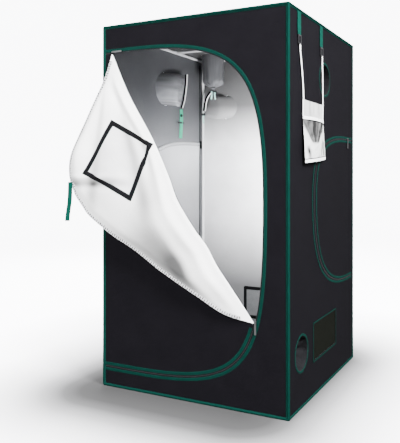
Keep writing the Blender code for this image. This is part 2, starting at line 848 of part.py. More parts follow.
def bent_sleeve(radius, reach, rise, lean, stand_off, mouth):
    """Stages of a sleeve that turns along the wall and ends in a flat mouth pulled shut."""
    slant = radius * half_turn_share
    way = 1 if reach > 0 else -1
    return [
        ((reach * bend_share, 0, -stand_off), (slant, 0, way * stand_off * swing_share), (0, radius, 0), 0),
        ((reach * (1 + bend_share) / 2, rise / 2, -stand_off), (0, 0, way * stand_off * bend_share),
         (lean / 2, radius, 0), gather_share),
        ((reach, rise, -stand_off), (0, 0, way * mouth), (lean, radius, 0), 0),
    ]


def ports():
    """The five duct ports. Their sleeves run inside: one open, two tied shut, two turned along the wall."""
    open_stages = straight_sleeve(right_upper_port_radius, wall_sleeve_length, open_sleeve_shares)
    port("right_upper_port", "right", right_upper_port_run, right_upper_port_height, right_upper_port_radius,
         open_stages, "dark_sleeve")
    shut_stages = straight_sleeve(right_lower_port_radius, wall_sleeve_length, shut_sleeve_shares)
    shut_stages += cinched_end(wall_sleeve_length * shut_neck_share, wall_sleeve_length)
    port("right_lower_port", "right", right_lower_port_run, right_lower_port_height, right_lower_port_radius,
         shut_stages, "dark_sleeve")
    roof_neck = roof_sleeve_length * roof_neck_share
    roof_stages = straight_sleeve(roof_port_radius, roof_sleeve_length, roof_sleeve_shares)
    roof_stages += cinched_end(roof_neck, roof_neck + 2 * cinched_radius)
    port("roof_port", "roof", roof_port_inset - half, half - roof_port_rear_inset, roof_port_radius,
         roof_stages, "inner_cloth")
    port("left_upper_port", "left", -left_upper_port_run, left_upper_port_height, left_upper_port_radius,
         bent_sleeve(left_upper_port_radius, -left_sleeve_reach, 0, -left_sleeve_lean,
                     sleeve_stand_off, sleeve_mouth), "inner_cloth")
    port("back_port", "back", -back_port_run, back_port_height, back_port_radius,
         bent_sleeve(back_port_radius, back_sleeve_reach, back_sleeve_rise, -back_sleeve_lean,
                     back_sleeve_stand_off, sleeve_mouth), "inner_cloth")


def vents():
    """Two mesh panels: the right one is bound on its outer face, the back one is taped on its inner face."""
    for name, wall, run, inwards, depth, material_name in (
        ("right_vent", "right", vent_right_run, -1, piping_depth + piping / 2, "vent_mesh"),
        ("back_vent", "back", -vent_back_run, 1, inner_depth + gap + piping / 2, "black_tape"),
    ):
        place = on_wall(wall, depth) @ Matrix.Translation((run, vent_sill + vent_height / 2, 0))
        step = inwards * abs(depth - middle_depth)
        rings = [
            [(*point, rise) for point in rectangle(vent_width - trim, vent_height - trim)]
            for trim, rise in ((0, 0), (2 * vent_frame, 0), (2 * vent_frame, step))
        ]
        skin(name, rings, piping, place, material_name, capped=True)


def organizer():
    """The pouch on the right wall: two webbing straps, a clip on each, and a film pouch with one pocket."""
    flat = on_wall("right", piping_depth - gap)
    strap_top = tent_height - binding_leg - gap
    strap_foot = strap_top - webbing_length
    clip_foot = strap_foot - gap - clip_height
    for name, side in (("front", -1), ("rear", 1)):
        run = pouch_hang_run + side * webbing_spacing / 2
        strip = rectangle(webbing_width, webbing_length, run, strap_top - webbing_length / 2)
        plate(f"organizer_strap_{name}", [strip], webbing, flat @ Matrix.Translation((0, 0, webbing / 2)),
              "green_webbing")
        outer = rounded(clip_width, clip_height, clip_frame / 2)
        inner = rounded(clip_width - 2 * clip_frame, clip_height - 2 * clip_frame, clip_frame / 4)
        middle = Matrix.Translation((run, clip_foot + clip_height / 2, clip_thickness / 2))
        clip = plate(f"organizer_clip_{name}", [outer, inner], clip_thickness, flat @ middle, "clip_plastic")
        with_origin(clip, (0, clip_height / 2, clip_thickness / 2))
    pouch_body(flat, strap_foot, clip_foot)


def pouch_body(flat, strap_foot, clip_foot):
    """Back sheet with its two narrow straps, and the bowed pocket open at the top."""
    left = pouch_run - pouch_width / 2
    right = pouch_run + pouch_width / 2
    foot = pouch_top - pouch_band - pocket_height
    head = clip_foot - gap
    front, rear = (pouch_hang_run + side * webbing_spacing / 2 for side in (-1, 1))
    narrow = pouch_strap_width / 2
    outline = [
        (left, foot), (right, foot + pouch_foot_rise), (right, pouch_top), (rear + narrow, head),
        (rear - narrow, head), (right - 2 * narrow, pouch_top), (left + 2 * narrow, pouch_top),
        (front + narrow, head), (front - narrow, head), (left, pouch_top),
    ]
    sheet_plane = flat @ Matrix.Translation((0, 0, pouch_cloth / 2))
    sheet = with_origin(plate("pouch_sheet", [outline], pouch_cloth, sheet_plane, "pouch_film"), (0, 0, 0))
    rings = []
    for depth_share in (pocket_foot_share, (1 + pocket_foot_share) / 2, 1):
        rise_share = (depth_share - pocket_foot_share) / (1 - pocket_foot_share)
        ring = []
        for step in range(pocket_steps + 1):
            turn = pi * step / pocket_steps
            across = pouch_run + (pouch_width / 2 - pouch_cloth) * cos(turn)
            low = foot + pouch_cloth + pouch_foot_rise * (across - left) / pouch_width
            high = pouch_top - pouch_band
            stand_off = pouch_cloth / 2 + pocket_depth * depth_share * sin(turn)
            ring.append((across, low + (high - low) * rise_share, stand_off))
        rings.append(ring)
    pocket = skin("pouch_pocket", rings[::-1], pouch_cloth, sheet_plane, "pouch_film", capped=True)
    pocket = with_origin(pocket, (0, 0, 0))
    whole = combined(sheet, [pocket], "UNION")
    hinge = (pouch_hang_run, strap_foot - gap, clip_thickness - pouch_cloth / 2)
    with_origin(whole, hinge).name = "organizer_pouch"


def slider_shapes(name, place, fused_turn=None):
    """A zip slider: its body, the bridge over it and, where it is fused on, a pull turned this far."""
    body = with_origin(
        plate("slider", [rounded(slider_width, slider_length, slider_width / 4)], slider_height,
              place @ Matrix.Translation((0, 0, slider_height / 2)), "zip_metal"), (0, 0, 0))
    rise = slider_height + bridge_rise + slider_bar
    span = slider_length - 2 * slider_bar
    arch = rounded(span, rise, slider_bar / 2, 0, rise / 2)
    hole = rectangle(span - 2 * slider_bar, rise - slider_bar - slider_height / 2, 0,
                     (rise - slider_bar + slider_height / 2) / 2)
    upright = place @ axes(Vector((0, 1, 0)), Vector((0, 0, 1)), Vector((1, 0, 0)), Vector((0, 0, gap)))
    bridge = with_origin(plate("bridge", [arch, hole], slider_bar, upright, "zip_metal"), (0, 0, 0))
    parts = [bridge]
    if fused_turn is not None:
        hung = place @ Matrix.Translation((0, 0, -3 * gap)) @ Matrix.Rotation(fused_turn, 4, "Z")
        parts.append(with_origin(pull_plate("pull", hung), (0, 0, 0)))
    combined(body, parts, "UNION")
    whole = with_origin(body, (0, 0, 0))
    whole.name = name
    return whole


def pull_plate(name, place):
    """A slim pull tab that hangs from its eye, with the eye's bar under the slider's bridge."""
    level = slider_height + 2 * gap + pull_thickness / 2
    outline = rounded(pull_width, pull_length, pull_corner, 0, pull_thickness - pull_length / 2)
    eye = rectangle(pull_eye_width, pull_eye_length, 0, -pull_eye_length / 2)
    raised = place @ Matrix.Translation((0, 0, level))
    return plate(name, [outline, eye], pull_thickness, raised, "zip_metal")


def sliders():
    """Four zip sliders. The one low on the front has its pull hinged on it."""
    fold = fold_frame()
    front = on_wall("front", piping_depth - gap)
    side_way = Matrix.Rotation(pi / 2, 4, "Z")
    top = Matrix.Translation((fold.top.x + front_slider_run, door_top + front_slider_offset, 0))
    slider_shapes("front_slider_top", front @ top @ side_way, 0)
    foot = fold.top + fold.along * fold.length
    low_place = front @ Matrix.Translation((foot.x + front_slider_offset, foot.y + slider_length / 2, 0))
    slider_shapes("front_slider_low", low_place)
    pull = pull_plate("front_pull_low", low_place)
    with_origin(pull, (0, pull_thickness / 2, 0))
    for side, sign in (("right", 1), ("left", -1)):
        run = sign * (side_hinge - side_slider_run)
        at_zip = Matrix.Translation((run, side_top + side_slider_offset, 0))
        place = on_wall(side, piping_depth - gap) @ at_zip @ side_way
        slider_shapes(f"{side}_side_slider", place, -pi / 2 if side == "right" else pi)


def build():
    clear_scene()
    frame()
    hanging_bar("hanging_bar_front", -bar_front_place)
    hanging_bar("hanging_bar_rear", bar_rear_place)
    walls()
    edge_binding()
    floor_tray()
    front_door_lower()
    front_door_flap()
    side_doors()
    ports()
    vents()
    organizer()
    sliders()


build()
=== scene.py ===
import math

import bmesh
import bpy
import numpy as np
from mathutils import Matrix, Vector, geometry, noise


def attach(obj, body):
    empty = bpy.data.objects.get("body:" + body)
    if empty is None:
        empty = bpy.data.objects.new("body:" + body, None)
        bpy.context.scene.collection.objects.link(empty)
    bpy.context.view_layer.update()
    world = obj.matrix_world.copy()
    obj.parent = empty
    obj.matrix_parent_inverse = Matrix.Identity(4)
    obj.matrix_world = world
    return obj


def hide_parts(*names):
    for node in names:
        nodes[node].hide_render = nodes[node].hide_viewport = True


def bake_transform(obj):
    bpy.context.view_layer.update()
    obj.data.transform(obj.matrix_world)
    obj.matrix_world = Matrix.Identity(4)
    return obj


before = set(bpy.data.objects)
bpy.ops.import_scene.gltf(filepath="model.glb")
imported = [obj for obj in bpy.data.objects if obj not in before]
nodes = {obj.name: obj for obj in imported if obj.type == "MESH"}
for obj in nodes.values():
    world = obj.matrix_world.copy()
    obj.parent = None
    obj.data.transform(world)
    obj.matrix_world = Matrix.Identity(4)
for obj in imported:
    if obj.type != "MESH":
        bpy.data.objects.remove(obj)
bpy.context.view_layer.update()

tent = {"half": 0.5, "height": 1.8, "cloth": 0.0012, "gap": 0.0003, "binding": 0.001, "bindingLeg": 0.0115}
clothDepth = tent["binding"] + tent["gap"]  # from the tent's outer face in to the cloth's outer face
middleDepth = clothDepth + tent["cloth"] / 2


# Camera, backdrop and light

view = {"place": (1.4501, -2.9037, 1.0644), "turn": 26.505, "lens": 48.81, "shift": (-0.0836, -0.1087)}
studio = {
    "backdropColour": (0.93, 0.93, 0.935), "backdropGlow": 8.5, "backdropTone": 0.03, "world": (0.30, 1.05),
    "inner": 7.5, "bend": 2.5, "top": 12.0, "sides": 96,  # the backdrop's flat floor, its curve up and its wall
    "shadow": ((-0.075, -0.07), (0.36, 0.46), 1.4, [  # the painted shadow's middle, half size, reach, and tone by share of the reach
        (0.0, 0.006), (0.036, 0.008), (0.1, 0.012), (0.157, 0.034), (0.23, 0.12), (0.33, 0.31), (0.57, 0.68),
        (1.0, 1.0)]),
    "lamps": [  # place, aim, size, watts
        ((3.6, -1.9, 3.5), (0.2, -0.3, 1.0), 1.5, 1400),
        ((-0.9, -4.6, 2.4), (-0.2, 0.0, 0.9), 2.2, 600),
        ((0.20, -0.12, 1.02), (0.24, 0.50, 1.08), 0.3, 44),
        ((-2.6, 2.9, 3.2), (-0.2, 0.2, 0.9), 2.4, 480),
    ],
}


def placed(name, data):  # An object of this data, in the scene
    made = bpy.data.objects.new(name, data)
    bpy.context.scene.collection.objects.link(made)
    return made


def makeCamera():
    data = bpy.data.cameras.new("camera")
    data.lens = view["lens"]
    data.sensor_width = 36
    data.sensor_fit = "AUTO"
    data.shift_x, data.shift_y = view["shift"]
    data.clip_start, data.clip_end = 0.05, 60
    camera = placed("camera", data)
    camera.location = view["place"]
    camera.rotation_euler = (math.pi / 2, 0, math.radians(view["turn"]))
    bpy.context.scene.camera = camera


def shadeBackdrop(paper, glow):  # Paints the tent's shadow into the paper's glow and colour, darker round the tent's foot
    middle, half, reach, tones = studio["shadow"]
    look = Weaver(paper)
    place = look.parts(look.add("ShaderNodeTexCoord").outputs["Object"])
    away = []
    for axis in range(2):
        offset = look.maths("ABSOLUTE", look.maths("SUBTRACT", place[axis], middle[axis]), 0.0)
        past = look.maths("MAXIMUM", look.maths("SUBTRACT", offset, half[axis]), 0.0)
        away.append(look.maths("MULTIPLY", past, past))
    distance = look.maths("SQRT", look.maths("ADD", *away), 0.0)
    tone = look.ramp(look.maths("DIVIDE", distance, reach), [(share, (t, t, t * 1.03)) for share, t in tones])
    look.join(tone, glow.inputs["Emission Color"])
    look.join(look.mix(studio["backdropTone"], tone, studio["backdropColour"]), glow.inputs["Base Color"])


def makeBackdrop():  # A pale floor that curves up into a wall, all round and a long way from the tent
    inner, bend, top, sides = (studio[key] for key in ("inner", "bend", "top", "sides"))
    profile = [(inner, 0.0)]
    profile += [(inner + bend * math.sin(a), bend - bend * math.cos(a)) for a in np.radians(range(10, 91, 10))]
    profile += [(inner + bend, top)]
    verts = [Vector((0, 0, 0))]
    for away, up in profile:
        for angle in np.linspace(0, math.tau, sides, endpoint=False):
            verts.append(Vector((away * math.cos(angle), away * math.sin(angle), up)))
    faces = []
    for k in range(sides):
        after = (k + 1) % sides
        faces.append((0, 1 + k, 1 + after))
        for ring in range(len(profile) - 1):
            low, high = 1 + ring * sides, 1 + (ring + 1) * sides
            faces.append((low + k, high + k, high + after, low + after))
    mesh = bpy.data.meshes.new("backdrop")
    mesh.from_pydata(verts, [], faces)
    mesh.shade_smooth()
    backdrop = placed("backdrop", mesh)
    paper = plainMaterial("backdropPaper", studio["backdropColour"], 0.95)
    glow = paper.node_tree.nodes["Principled BSDF"]
    glow.inputs["Emission Color"].default_value = (1, 1, 1, 1)
    glow.inputs["Emission Strength"].default_value = studio["backdropGlow"]
    shadeBackdrop(paper, glow)
    mesh.materials.append(paper)
    backdrop.visible_diffuse = backdrop.visible_glossy = backdrop.visible_shadow = False


def makeWorld():
    world = bpy.data.worlds.new("studio")
    bpy.context.scene.world = world
    world.use_nodes = True
    tree = world.node_tree
    background = tree.nodes["Background"]
    background.inputs["Color"].default_value = (1, 1, 1, 1)
    around, parts = tree.nodes.new("ShaderNodeTexCoord"), tree.nodes.new("ShaderNodeSeparateXYZ")
    climb = tree.nodes.new("ShaderNodeMapRange")  # dim below, bright above
    climb.inputs["From Min"].default_value, climb.inputs["From Max"].default_value = -0.5, 0.8
    climb.inputs["To Min"].default_value, climb.inputs["To Max"].default_value = studio["world"]
    tree.links.new(around.outputs["Generated"], parts.inputs["Vector"])
    tree.links.new(parts.outputs["Z"], climb.inputs["Value"])
    tree.links.new(climb.outputs["Result"], background.inputs["Strength"])


def makeLamps():
    for place, aim, size, watts in studio["lamps"]:
        data = bpy.data.lights.new("softLamp", "AREA")
        data.shape, data.size, data.energy = "SQUARE", size, watts
        lamp = placed("softLamp", data)
        lamp.location = place
        lamp.visible_camera = lamp.visible_glossy = False
        lamp.rotation_mode = "QUATERNION"
        lamp.rotation_quaternion = (Vector(aim) - Vector(place)).to_track_quat("-Z", "Y")


# Materials

def plainMaterial(name, colour, roughness, metallic=0.0):
    made = bpy.data.materials.new(name)
    made.use_nodes = True
    shader = made.node_tree.nodes["Principled BSDF"]
    shader.inputs["Base Color"].default_value = (*colour, 1)
    shader.inputs["Roughness"].default_value = roughness
    shader.inputs["Metallic"].default_value = metallic
    return made


class Weaver:  # Adds nodes to one material and joins them up

    def __init__(self, material):
        self.material, self.tree, self.heights = material, material.node_tree, []
        self.shader = self.tree.nodes["Principled BSDF"]

    @classmethod
    def fresh(cls, name, colour, rough, metallic=0.0, coat=0.0, specular=0.5):  # For a new material
        made = cls(plainMaterial(name, colour, sum(rough) / 2, metallic))
        made.shader.inputs["Coat Weight"].default_value = coat
        made.shader.inputs["Specular IOR Level"].default_value = specular
        return made

    def add(self, kind, **settings):
        node = self.tree.nodes.new(kind)
        for key, value in settings.items():
            setattr(node, key, value)
        return node

    def join(self, output, target):
        self.tree.links.new(output, target)

    def parts(self, vector):  # The three parts of a vector
        node = self.add("ShaderNodeSeparateXYZ")
        self.join(vector, node.inputs["Vector"])
        return node.outputs

    def coordinates(self, layer=None, turn=0.0, scale=(1, 1, 1)):
        # Metres on the piece, by its own map where it has one, else by its place
        mapping = self.add("ShaderNodeMapping")
        mapping.inputs["Scale"].default_value = scale
        mapping.inputs["Rotation"].default_value = (0, 0, turn)
        if layer:
            self.join(self.add("ShaderNodeUVMap", uv_map=layer).outputs["UV"], mapping.inputs["Vector"])
        else:
            self.join(self.add("ShaderNodeTexCoord").outputs["Object"], mapping.inputs["Vector"])
        return mapping.outputs["Vector"]

    def cloud(self, where, scale, detail=3.0, rough=0.55, distortion=0.0):
        node = self.add("ShaderNodeTexNoise")
        node.inputs["Scale"].default_value = scale
        node.inputs["Detail"].default_value = detail
        node.inputs["Roughness"].default_value = rough
        node.inputs["Distortion"].default_value = distortion
        self.join(where, node.inputs["Vector"])
        return node.outputs["Fac"]

    def bands(self, where, period, direction):  # Bands this far apart, in metres
        node = self.add("ShaderNodeTexWave", wave_type="BANDS", bands_direction=direction, wave_profile="SIN")
        node.inputs["Scale"].default_value = math.tau / (20 * period)
        node.inputs["Distortion"].default_value = 0.0
        node.inputs["Detail"].default_value = 1.0
        self.join(where, node.inputs["Vector"])
        return node.outputs["Fac"]

    def crossed(self, where, period, narrower=1.0, operation="MULTIPLY"):  # Bands both ways, as in a weave
        return self.maths(operation, self.bands(where, period, "X"), self.bands(where, period * narrower, "Y"))

    def maths(self, operation, first, second):
        node = self.add("ShaderNodeMath", operation=operation)
        for slot, value in zip(node.inputs, (first, second)):
            if isinstance(value, (int, float)):
                slot.default_value = value
            else:
                self.join(value, slot)
        return node.outputs["Value"]

    def ramp(self, fac, stops):
        node = self.add("ShaderNodeValToRGB")
        points = node.color_ramp.elements
        while len(points) < len(stops):
            points.new(0.5)
        for point, (place, colour) in zip(points, stops):
            point.position = place
            point.color = (*colour, 1) if len(colour) == 3 else colour
        self.join(fac, node.inputs["Fac"])
        return node.outputs["Color"]

    def patchy(self, fac, colour, spread, edge=0.3):  # The colour, darker and lighter by this much in patches
        return self.ramp(fac, [(edge, shaded(colour, 1 - spread)), (1 - edge, shaded(colour, 1 + spread))])

    def mix(self, fac, first, second, blend="MIX"):
        node = self.add("ShaderNodeMix", data_type="RGBA", blend_type=blend)
        for slot, value in ((node.inputs[0], fac), (node.inputs[6], first), (node.inputs[7], second)):
            if isinstance(value, tuple):
                slot.default_value = (*value, 1)
            elif isinstance(value, (int, float)):
                slot.default_value = value
            else:
                self.join(value, slot)
        return node.outputs[2]

    def colour(self, output):
        self.join(output, self.shader.inputs["Base Color"])

    def roughen(self, fac, low, high):
        node = self.add("ShaderNodeMapRange")
        node.inputs["To Min"].default_value = low
        node.inputs["To Max"].default_value = high
        self.join(fac, node.inputs["Value"])
        self.join(node.outputs["Result"], self.shader.inputs["Roughness"])

    def relief(self, height, distance):  # Each call adds one layer of bump over the last
        node = self.add("ShaderNodeBump")
        node.inputs["Strength"].default_value = 1.0
        node.inputs["Distance"].default_value = distance
        self.join(height, node.inputs["Height"])
        if self.heights:
            self.join(self.heights[-1], node.inputs["Normal"])
        self.heights.append(node.outputs["Normal"])
        self.join(node.outputs["Normal"], self.shader.inputs["Normal"])


# Shapes shared by the pieces

def onWall(wall, depth=0.0):
    # The plane of a wall, this deep inside the tent's outer face: X to the right as seen from outside, Z out
    x, y, z = Vector((1, 0, 0)), Vector((0, 1, 0)), Vector((0, 0, 1))
    reach = tent["half"] - depth
    right, up, out, origin = {
        "front": (x, z, -y, -y * reach), "back": (-x, z, y, y * reach), "right": (y, z, x, x * reach),
        "left": (-y, z, -x, -x * reach), "roof": (x, y, z, z * (tent["height"] - depth)),
    }[wall]
    return Matrix.Translation(origin) @ Matrix((right, up, out)).transposed().to_4x4()


def hump(value, low, high):  # 0 below low, 1 above high, smooth between
    share = np.clip((np.asarray(value, float) - low) / (high - low), 0, 1)
    return share * share * (3 - 2 * share)


def bell(away, width):  # 1 in the middle of a fold, falling to 0 away from it
    return math.exp(-(away / width) ** 2)


def clamped(value):
    return min(1.0, max(0.0, value))


def wobble(x, y, seed):  # Smooth noise from -1 to 1
    return noise.noise(Vector((x, y, seed)))


def ripple(u, v, scale, seed):  # The same over a sheet, one value for each point
    return np.array([wobble(a * scale, b * scale, seed) for a, b in zip(u, v)])


def newPiece(name, verts, faces, materials, layers=None, slots=None, smooth=60):
    # A mesh object at the origin, with its place in its mesh. Layers are UV maps with one pair for each vertex
    mesh = bpy.data.meshes.new(name)
    mesh.from_pydata([tuple(map(float, v)) for v in verts], [], [tuple(map(int, f)) for f in faces])
    mesh.validate()
    for material in materials:
        mesh.materials.append(material)
    if slots is not None:
        mesh.polygons.foreach_set("material_index", np.asarray(slots, np.int32))
    corners = np.zeros(len(mesh.loops), np.int32)
    mesh.loops.foreach_get("vertex_index", corners)
    for layer, pairs in (layers or {}).items():
        mesh.uv_layers.new(name=layer).data.foreach_set("uv", np.asarray(pairs, np.float32)[corners].ravel())
    mesh.shade_smooth()
    if smooth:
        mesh.set_sharp_from_angle(angle=math.radians(smooth))
    return placed(name, mesh)


def settle(made, body, stands=()):
    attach(made, body)
    if stands:
        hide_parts(*stands)
    return made


def doorPath(hinge, far, top, bottom, middle, straights, handles):
    # The zip of a D-shaped door: from its hinge side along the top, round the far side and back below
    width = far - hinge
    topRun, topDrop, bottomDrop, bottomRun = handles
    topTurn, bottomTurn = Vector((hinge + straights[0] * width, top)), Vector((hinge + straights[1] * width, bottom))
    side, corner = Vector((far, middle)), Vector((far, top))
    upper = geometry.interpolate_bezier(topTurn, topTurn.lerp(corner, topRun), side.lerp(corner, topDrop), side, 29)
    corner = Vector((far, bottom))
    lower = geometry.interpolate_bezier(
        side, side.lerp(corner, bottomDrop), bottomTurn.lerp(corner, bottomRun), bottomTurn, 29)
    return [Vector((hinge, top)), *upper, *lower[1:], Vector((hinge, bottom))]


def heading(path, place, close=False):  # The way along a path at one of its points
    last = len(path) - 1
    before = path[(place - 1) % len(path) if close else max(place - 1, 0)]
    after = path[(place + 1) % len(path) if close else min(place + 1, last)]
    return (after - before).normalized()


def grown(path, distance):
    out = 1 if path[len(path) // 2].x > path[0].x else -1
    moved = []
    for place, here in enumerate(path):
        along = heading(path, place)
        moved.append(here + out * distance * Vector((-along.y, along.x)))
    return moved


doorGap = 0.004  # from the middle of a door's zip to the cloth on each side
doorSeam = 0.05  # how much of that is left on the hinge side, where the door is sewn on


def doorLoop(path, growth):
    loop = grown(path, growth)
    away = -1 if path[len(path) // 2].x > path[0].x else 1
    for end in (0, -1):
        loop[end] = loop[end] + Vector((away * growth * doorSeam, 0))
    return loop


def mirrored(points):
    return [Vector((-p[0], p[1])) for p in points]


def circle(radius, x, y, sides=48):
    return [Vector((x + radius * math.cos(a), y + radius * math.sin(a)))
            for a in (math.tau * step / sides for step in range(sides))]


def rectangle(width, height, x=0.0, y=0.0):
    return [Vector((x + a * width / 2, y + b * height / 2)) for a, b in ((1, 1), (-1, 1), (-1, -1), (1, -1))]


def sidesOf(loop):  # Each point of a loop with the next one
    return list(zip(loop, loop[1:] + loop[:1]))


def evenly(points, spacing, closed=True):
    # The line through these points, with points no further apart than this
    made = []
    ends = points[1:] + points[:1] if closed else points[1:]
    for here, there in zip(points, ends):
        count = max(1, math.ceil((there - here).length / spacing))
        made += [here.lerp(there, step / count) for step in range(count)]
    return made if closed else made + [points[-1]]


def inside(loop, u, v):  # Which points lie inside a loop
    found = np.zeros(len(u), bool)
    for here, there in sidesOf(loop):
        crosses = (here[1] > v) != (there[1] > v)
        with np.errstate(divide="ignore", invalid="ignore"):
            edge = (there[0] - here[0]) * (v - here[1]) / (there[1] - here[1] or 1e-12) + here[0]
        found ^= crosses & (u < edge)
    return found


def edgeDistance(loops, u, v):  # How far each point is from the nearest loop
    marks = np.array([p[:] for loop in loops for p in evenly(loop, 0.006)])
    return np.array([np.sqrt(((marks - (a, b)) ** 2).sum(1).min()) for a, b in zip(u, v)])


def triangulated(loops, cell):
    # Points and triangles that fill the first loop round the others, on a grid of this cell
    loops = [evenly(loop, cell) for loop in loops]
    verts = [p for loop in loops for p in loop]
    edges, first = [], 0
    for loop in loops:
        edges += [(first + i, first + (i + 1) % len(loop)) for i in range(len(loop))]
        first += len(loop)
    outer = np.array([p[:] for p in loops[0]])
    low, high = outer.min(0), outer.max(0)
    count = np.ceil((high - low) / cell).astype(int)
    gu, gv = np.meshgrid(np.linspace(low[0], high[0], count[0] + 1)[1:-1],
                         np.linspace(low[1], high[1], count[1] + 1)[1:-1])
    gu, gv = gu.ravel(), gv.ravel()
    keep = inside(loops[0], gu, gv)
    for loop in loops[1:]:
        keep &= ~inside(loop, gu, gv)
    gu, gv = gu[keep], gv[keep]
    keep = edgeDistance(loops, gu, gv) > cell * 0.45
    verts += [Vector((a, b)) for a, b in zip(gu[keep], gv[keep])]
    points, _, faces, *_ = geometry.delaunay_2d_cdt(verts, edges, [], 0, 1e-6)
    flat = np.array([p[:] for p in points])
    middle = np.array([flat[list(f)].mean(0) for f in faces])
    keep = inside(loops[0], middle[:, 0], middle[:, 1])
    for loop in loops[1:]:
        keep &= ~inside(loop, middle[:, 0], middle[:, 1])
    return flat, [f for f, k in zip(faces, keep) if k]


def usedBy(faces):  # The points that these faces use, and the faces on those points alone
    used = sorted({i for f in faces for i in f})
    renumber = {old: new for new, old in enumerate(used)}
    return used, [tuple(renumber[i] for i in f) for f in faces]


def rimOf(faces):  # The sides that belong to one face only
    sides = dict.fromkeys(side for f in faces for side in sidesOf(f))
    return [(a, b) for a, b in sides if (b, a) not in sides]


def bothSides(faces, rim, count):  # These faces, the same again on the far side, and the rim between them
    return (list(faces) + [tuple(i + count for i in f[::-1]) for f in faces]
            + [(b, a, a + count, b + count) for a, b in rim])


def sheetShape(flat, faces, heights, place, thickness):
    # Both sides and the rim of a sheet, its middle at these heights over the plane. Slots: 0 outside and rim, 1 inside
    used, faces = usedBy(faces)
    flat, heights = flat[used], np.asarray(heights)[used]
    verts = [place @ Vector((u, v, h + thickness / 2)) for (u, v), h in zip(flat, heights)]
    verts += [place @ Vector((u, v, h - thickness / 2)) for (u, v), h in zip(flat, heights)]
    area = sum((flat[f[1]][0] - flat[f[0]][0]) * (flat[f[2]][1] - flat[f[0]][1])
               - (flat[f[2]][0] - flat[f[0]][0]) * (flat[f[1]][1] - flat[f[0]][1]) for f in faces)
    if area < 0:
        faces = [f[::-1] for f in faces]
    rim = rimOf(faces)
    slots = [0] * len(faces) + [1] * len(faces) + [0] * len(rim)
    return verts, bothSides(faces, rim, len(used)), slots, np.vstack([flat, flat])


def tubeFaces(rings, size, close=False, capped=True):
    # The faces of a tube of rings of this many points. It meets itself again where close, else it ends in caps
    faces = []
    for a in range(rings if close else rings - 1):
        b = (a + 1) % rings
        for step in range(size):
            after = (step + 1) % size
            faces.append((a * size + step, a * size + after, b * size + after, b * size + step))
    if capped and not close:
        faces += [tuple(range(size))[::-1], tuple((rings - 1) * size + i for i in range(size))]
    return faces


def gridFaces(columns, rows):
    wide = columns + 1
    return [(j * wide + i, j * wide + i + 1, (j + 1) * wide + i + 1, (j + 1) * wide + i)
            for j in range(rows) for i in range(columns)]


def strip(name, path, normals, width, crown, material, thickness=0.0008, steps=5, close=False):
    # A crowned ribbon along a path in space. Its width lies across the path and its crown along the normals
    path = [Vector(p) for p in path]
    verts, layer, run = [], [], 0.0
    shares = [2 * step / (steps - 1) - 1 for step in range(steps)]
    for place, here in enumerate(path):
        out = Vector(normals[place] if isinstance(normals, list) else normals).normalized()
        across = out.cross(heading(path, place, close)).normalized()
        run += (here - path[place - 1]).length if place else 0
        verts += [here + across * share * width / 2 + out * crown * (1 - share * share) for share in shares]
        verts += [here + across * share * width / 2 - out * thickness for share in shares[::-1]]
        layer += [(run, share * width / 2) for share in shares + shares[::-1]]
    made = newPiece(name, verts, tubeFaces(len(path), 2 * steps, close), [material], {"weave": layer}, smooth=50)
    outwards(made)
    return made


def outwards(made):
    shape = bmesh.new()
    shape.from_mesh(made.data)
    bmesh.ops.recalc_face_normals(shape, faces=shape.faces)
    shape.to_mesh(made.data)
    shape.free()


def joined(name, parts):  # One object from several, keeping their materials and maps
    with bpy.context.temp_override(active_object=parts[0], selected_editable_objects=parts, object=parts[0]):
        bpy.ops.object.join()
    parts[0].name = name
    parts[0].data.name = name
    return parts[0]


def cord(name, path, radius, material, sides):  # A round cord along a path in space, closed at both ends
    verts, layer, run = [], [], 0.0
    up = Vector((0.3, 0.5, 0.81)).normalized()
    for place, here in enumerate(path):
        along = heading(path, place)
        up = (up - along * up.dot(along)).normalized()
        across = along.cross(up)
        run += (here - path[place - 1]).length if place else 0
        for step in range(sides):
            turn = math.tau * step / sides
            verts.append(here + (across * math.cos(turn) + up * math.sin(turn)) * radius)
            layer.append((run, turn * radius))
    made = newPiece(name, verts, tubeFaces(len(path), sides), [material], {"weave": layer}, smooth=70)
    outwards(made)
    return made


def smoothPath(points, count):  # A smooth line through a few points in space, with this many steps from each on
    points = [Vector(p) for p in points]
    padded = [2 * points[0] - points[1], *points, 2 * points[-1] - points[-2]]
    made = []
    for place in range(len(points) - 1):
        a, b, c, d = padded[place:place + 4]
        for step in range(count):
            t = step / count
            made.append(0.5 * (2 * b + (c - a) * t + (2 * a - 5 * b + 4 * c - d) * t * t
                               + (3 * b - a - 3 * c + d) * t ** 3))
    return made + [points[-1]]


def block(name, place, size, material, bevel):  # A moulded block with rounded edges, centred on a matrix
    shape = bmesh.new()
    bmesh.ops.create_cube(shape, size=1)
    for vert in shape.verts:
        vert.co = Vector((vert.co.x * size[0], vert.co.y * size[1], vert.co.z * size[2]))
    bmesh.ops.bevel(shape, geom=shape.edges[:], offset=bevel, segments=2, affect="EDGES")
    bmesh.ops.transform(shape, matrix=place, verts=shape.verts)
    mesh = bpy.data.meshes.new(name)
    shape.to_mesh(mesh)
    shape.free()
    mesh.materials.append(material)
    mesh.shade_smooth()
    mesh.set_sharp_from_angle(angle=math.radians(40))
    return placed(name, mesh)


# Looks of the materials

def shaded(colour, share):
    return tuple(min(1.0, part * share) for part in colour)


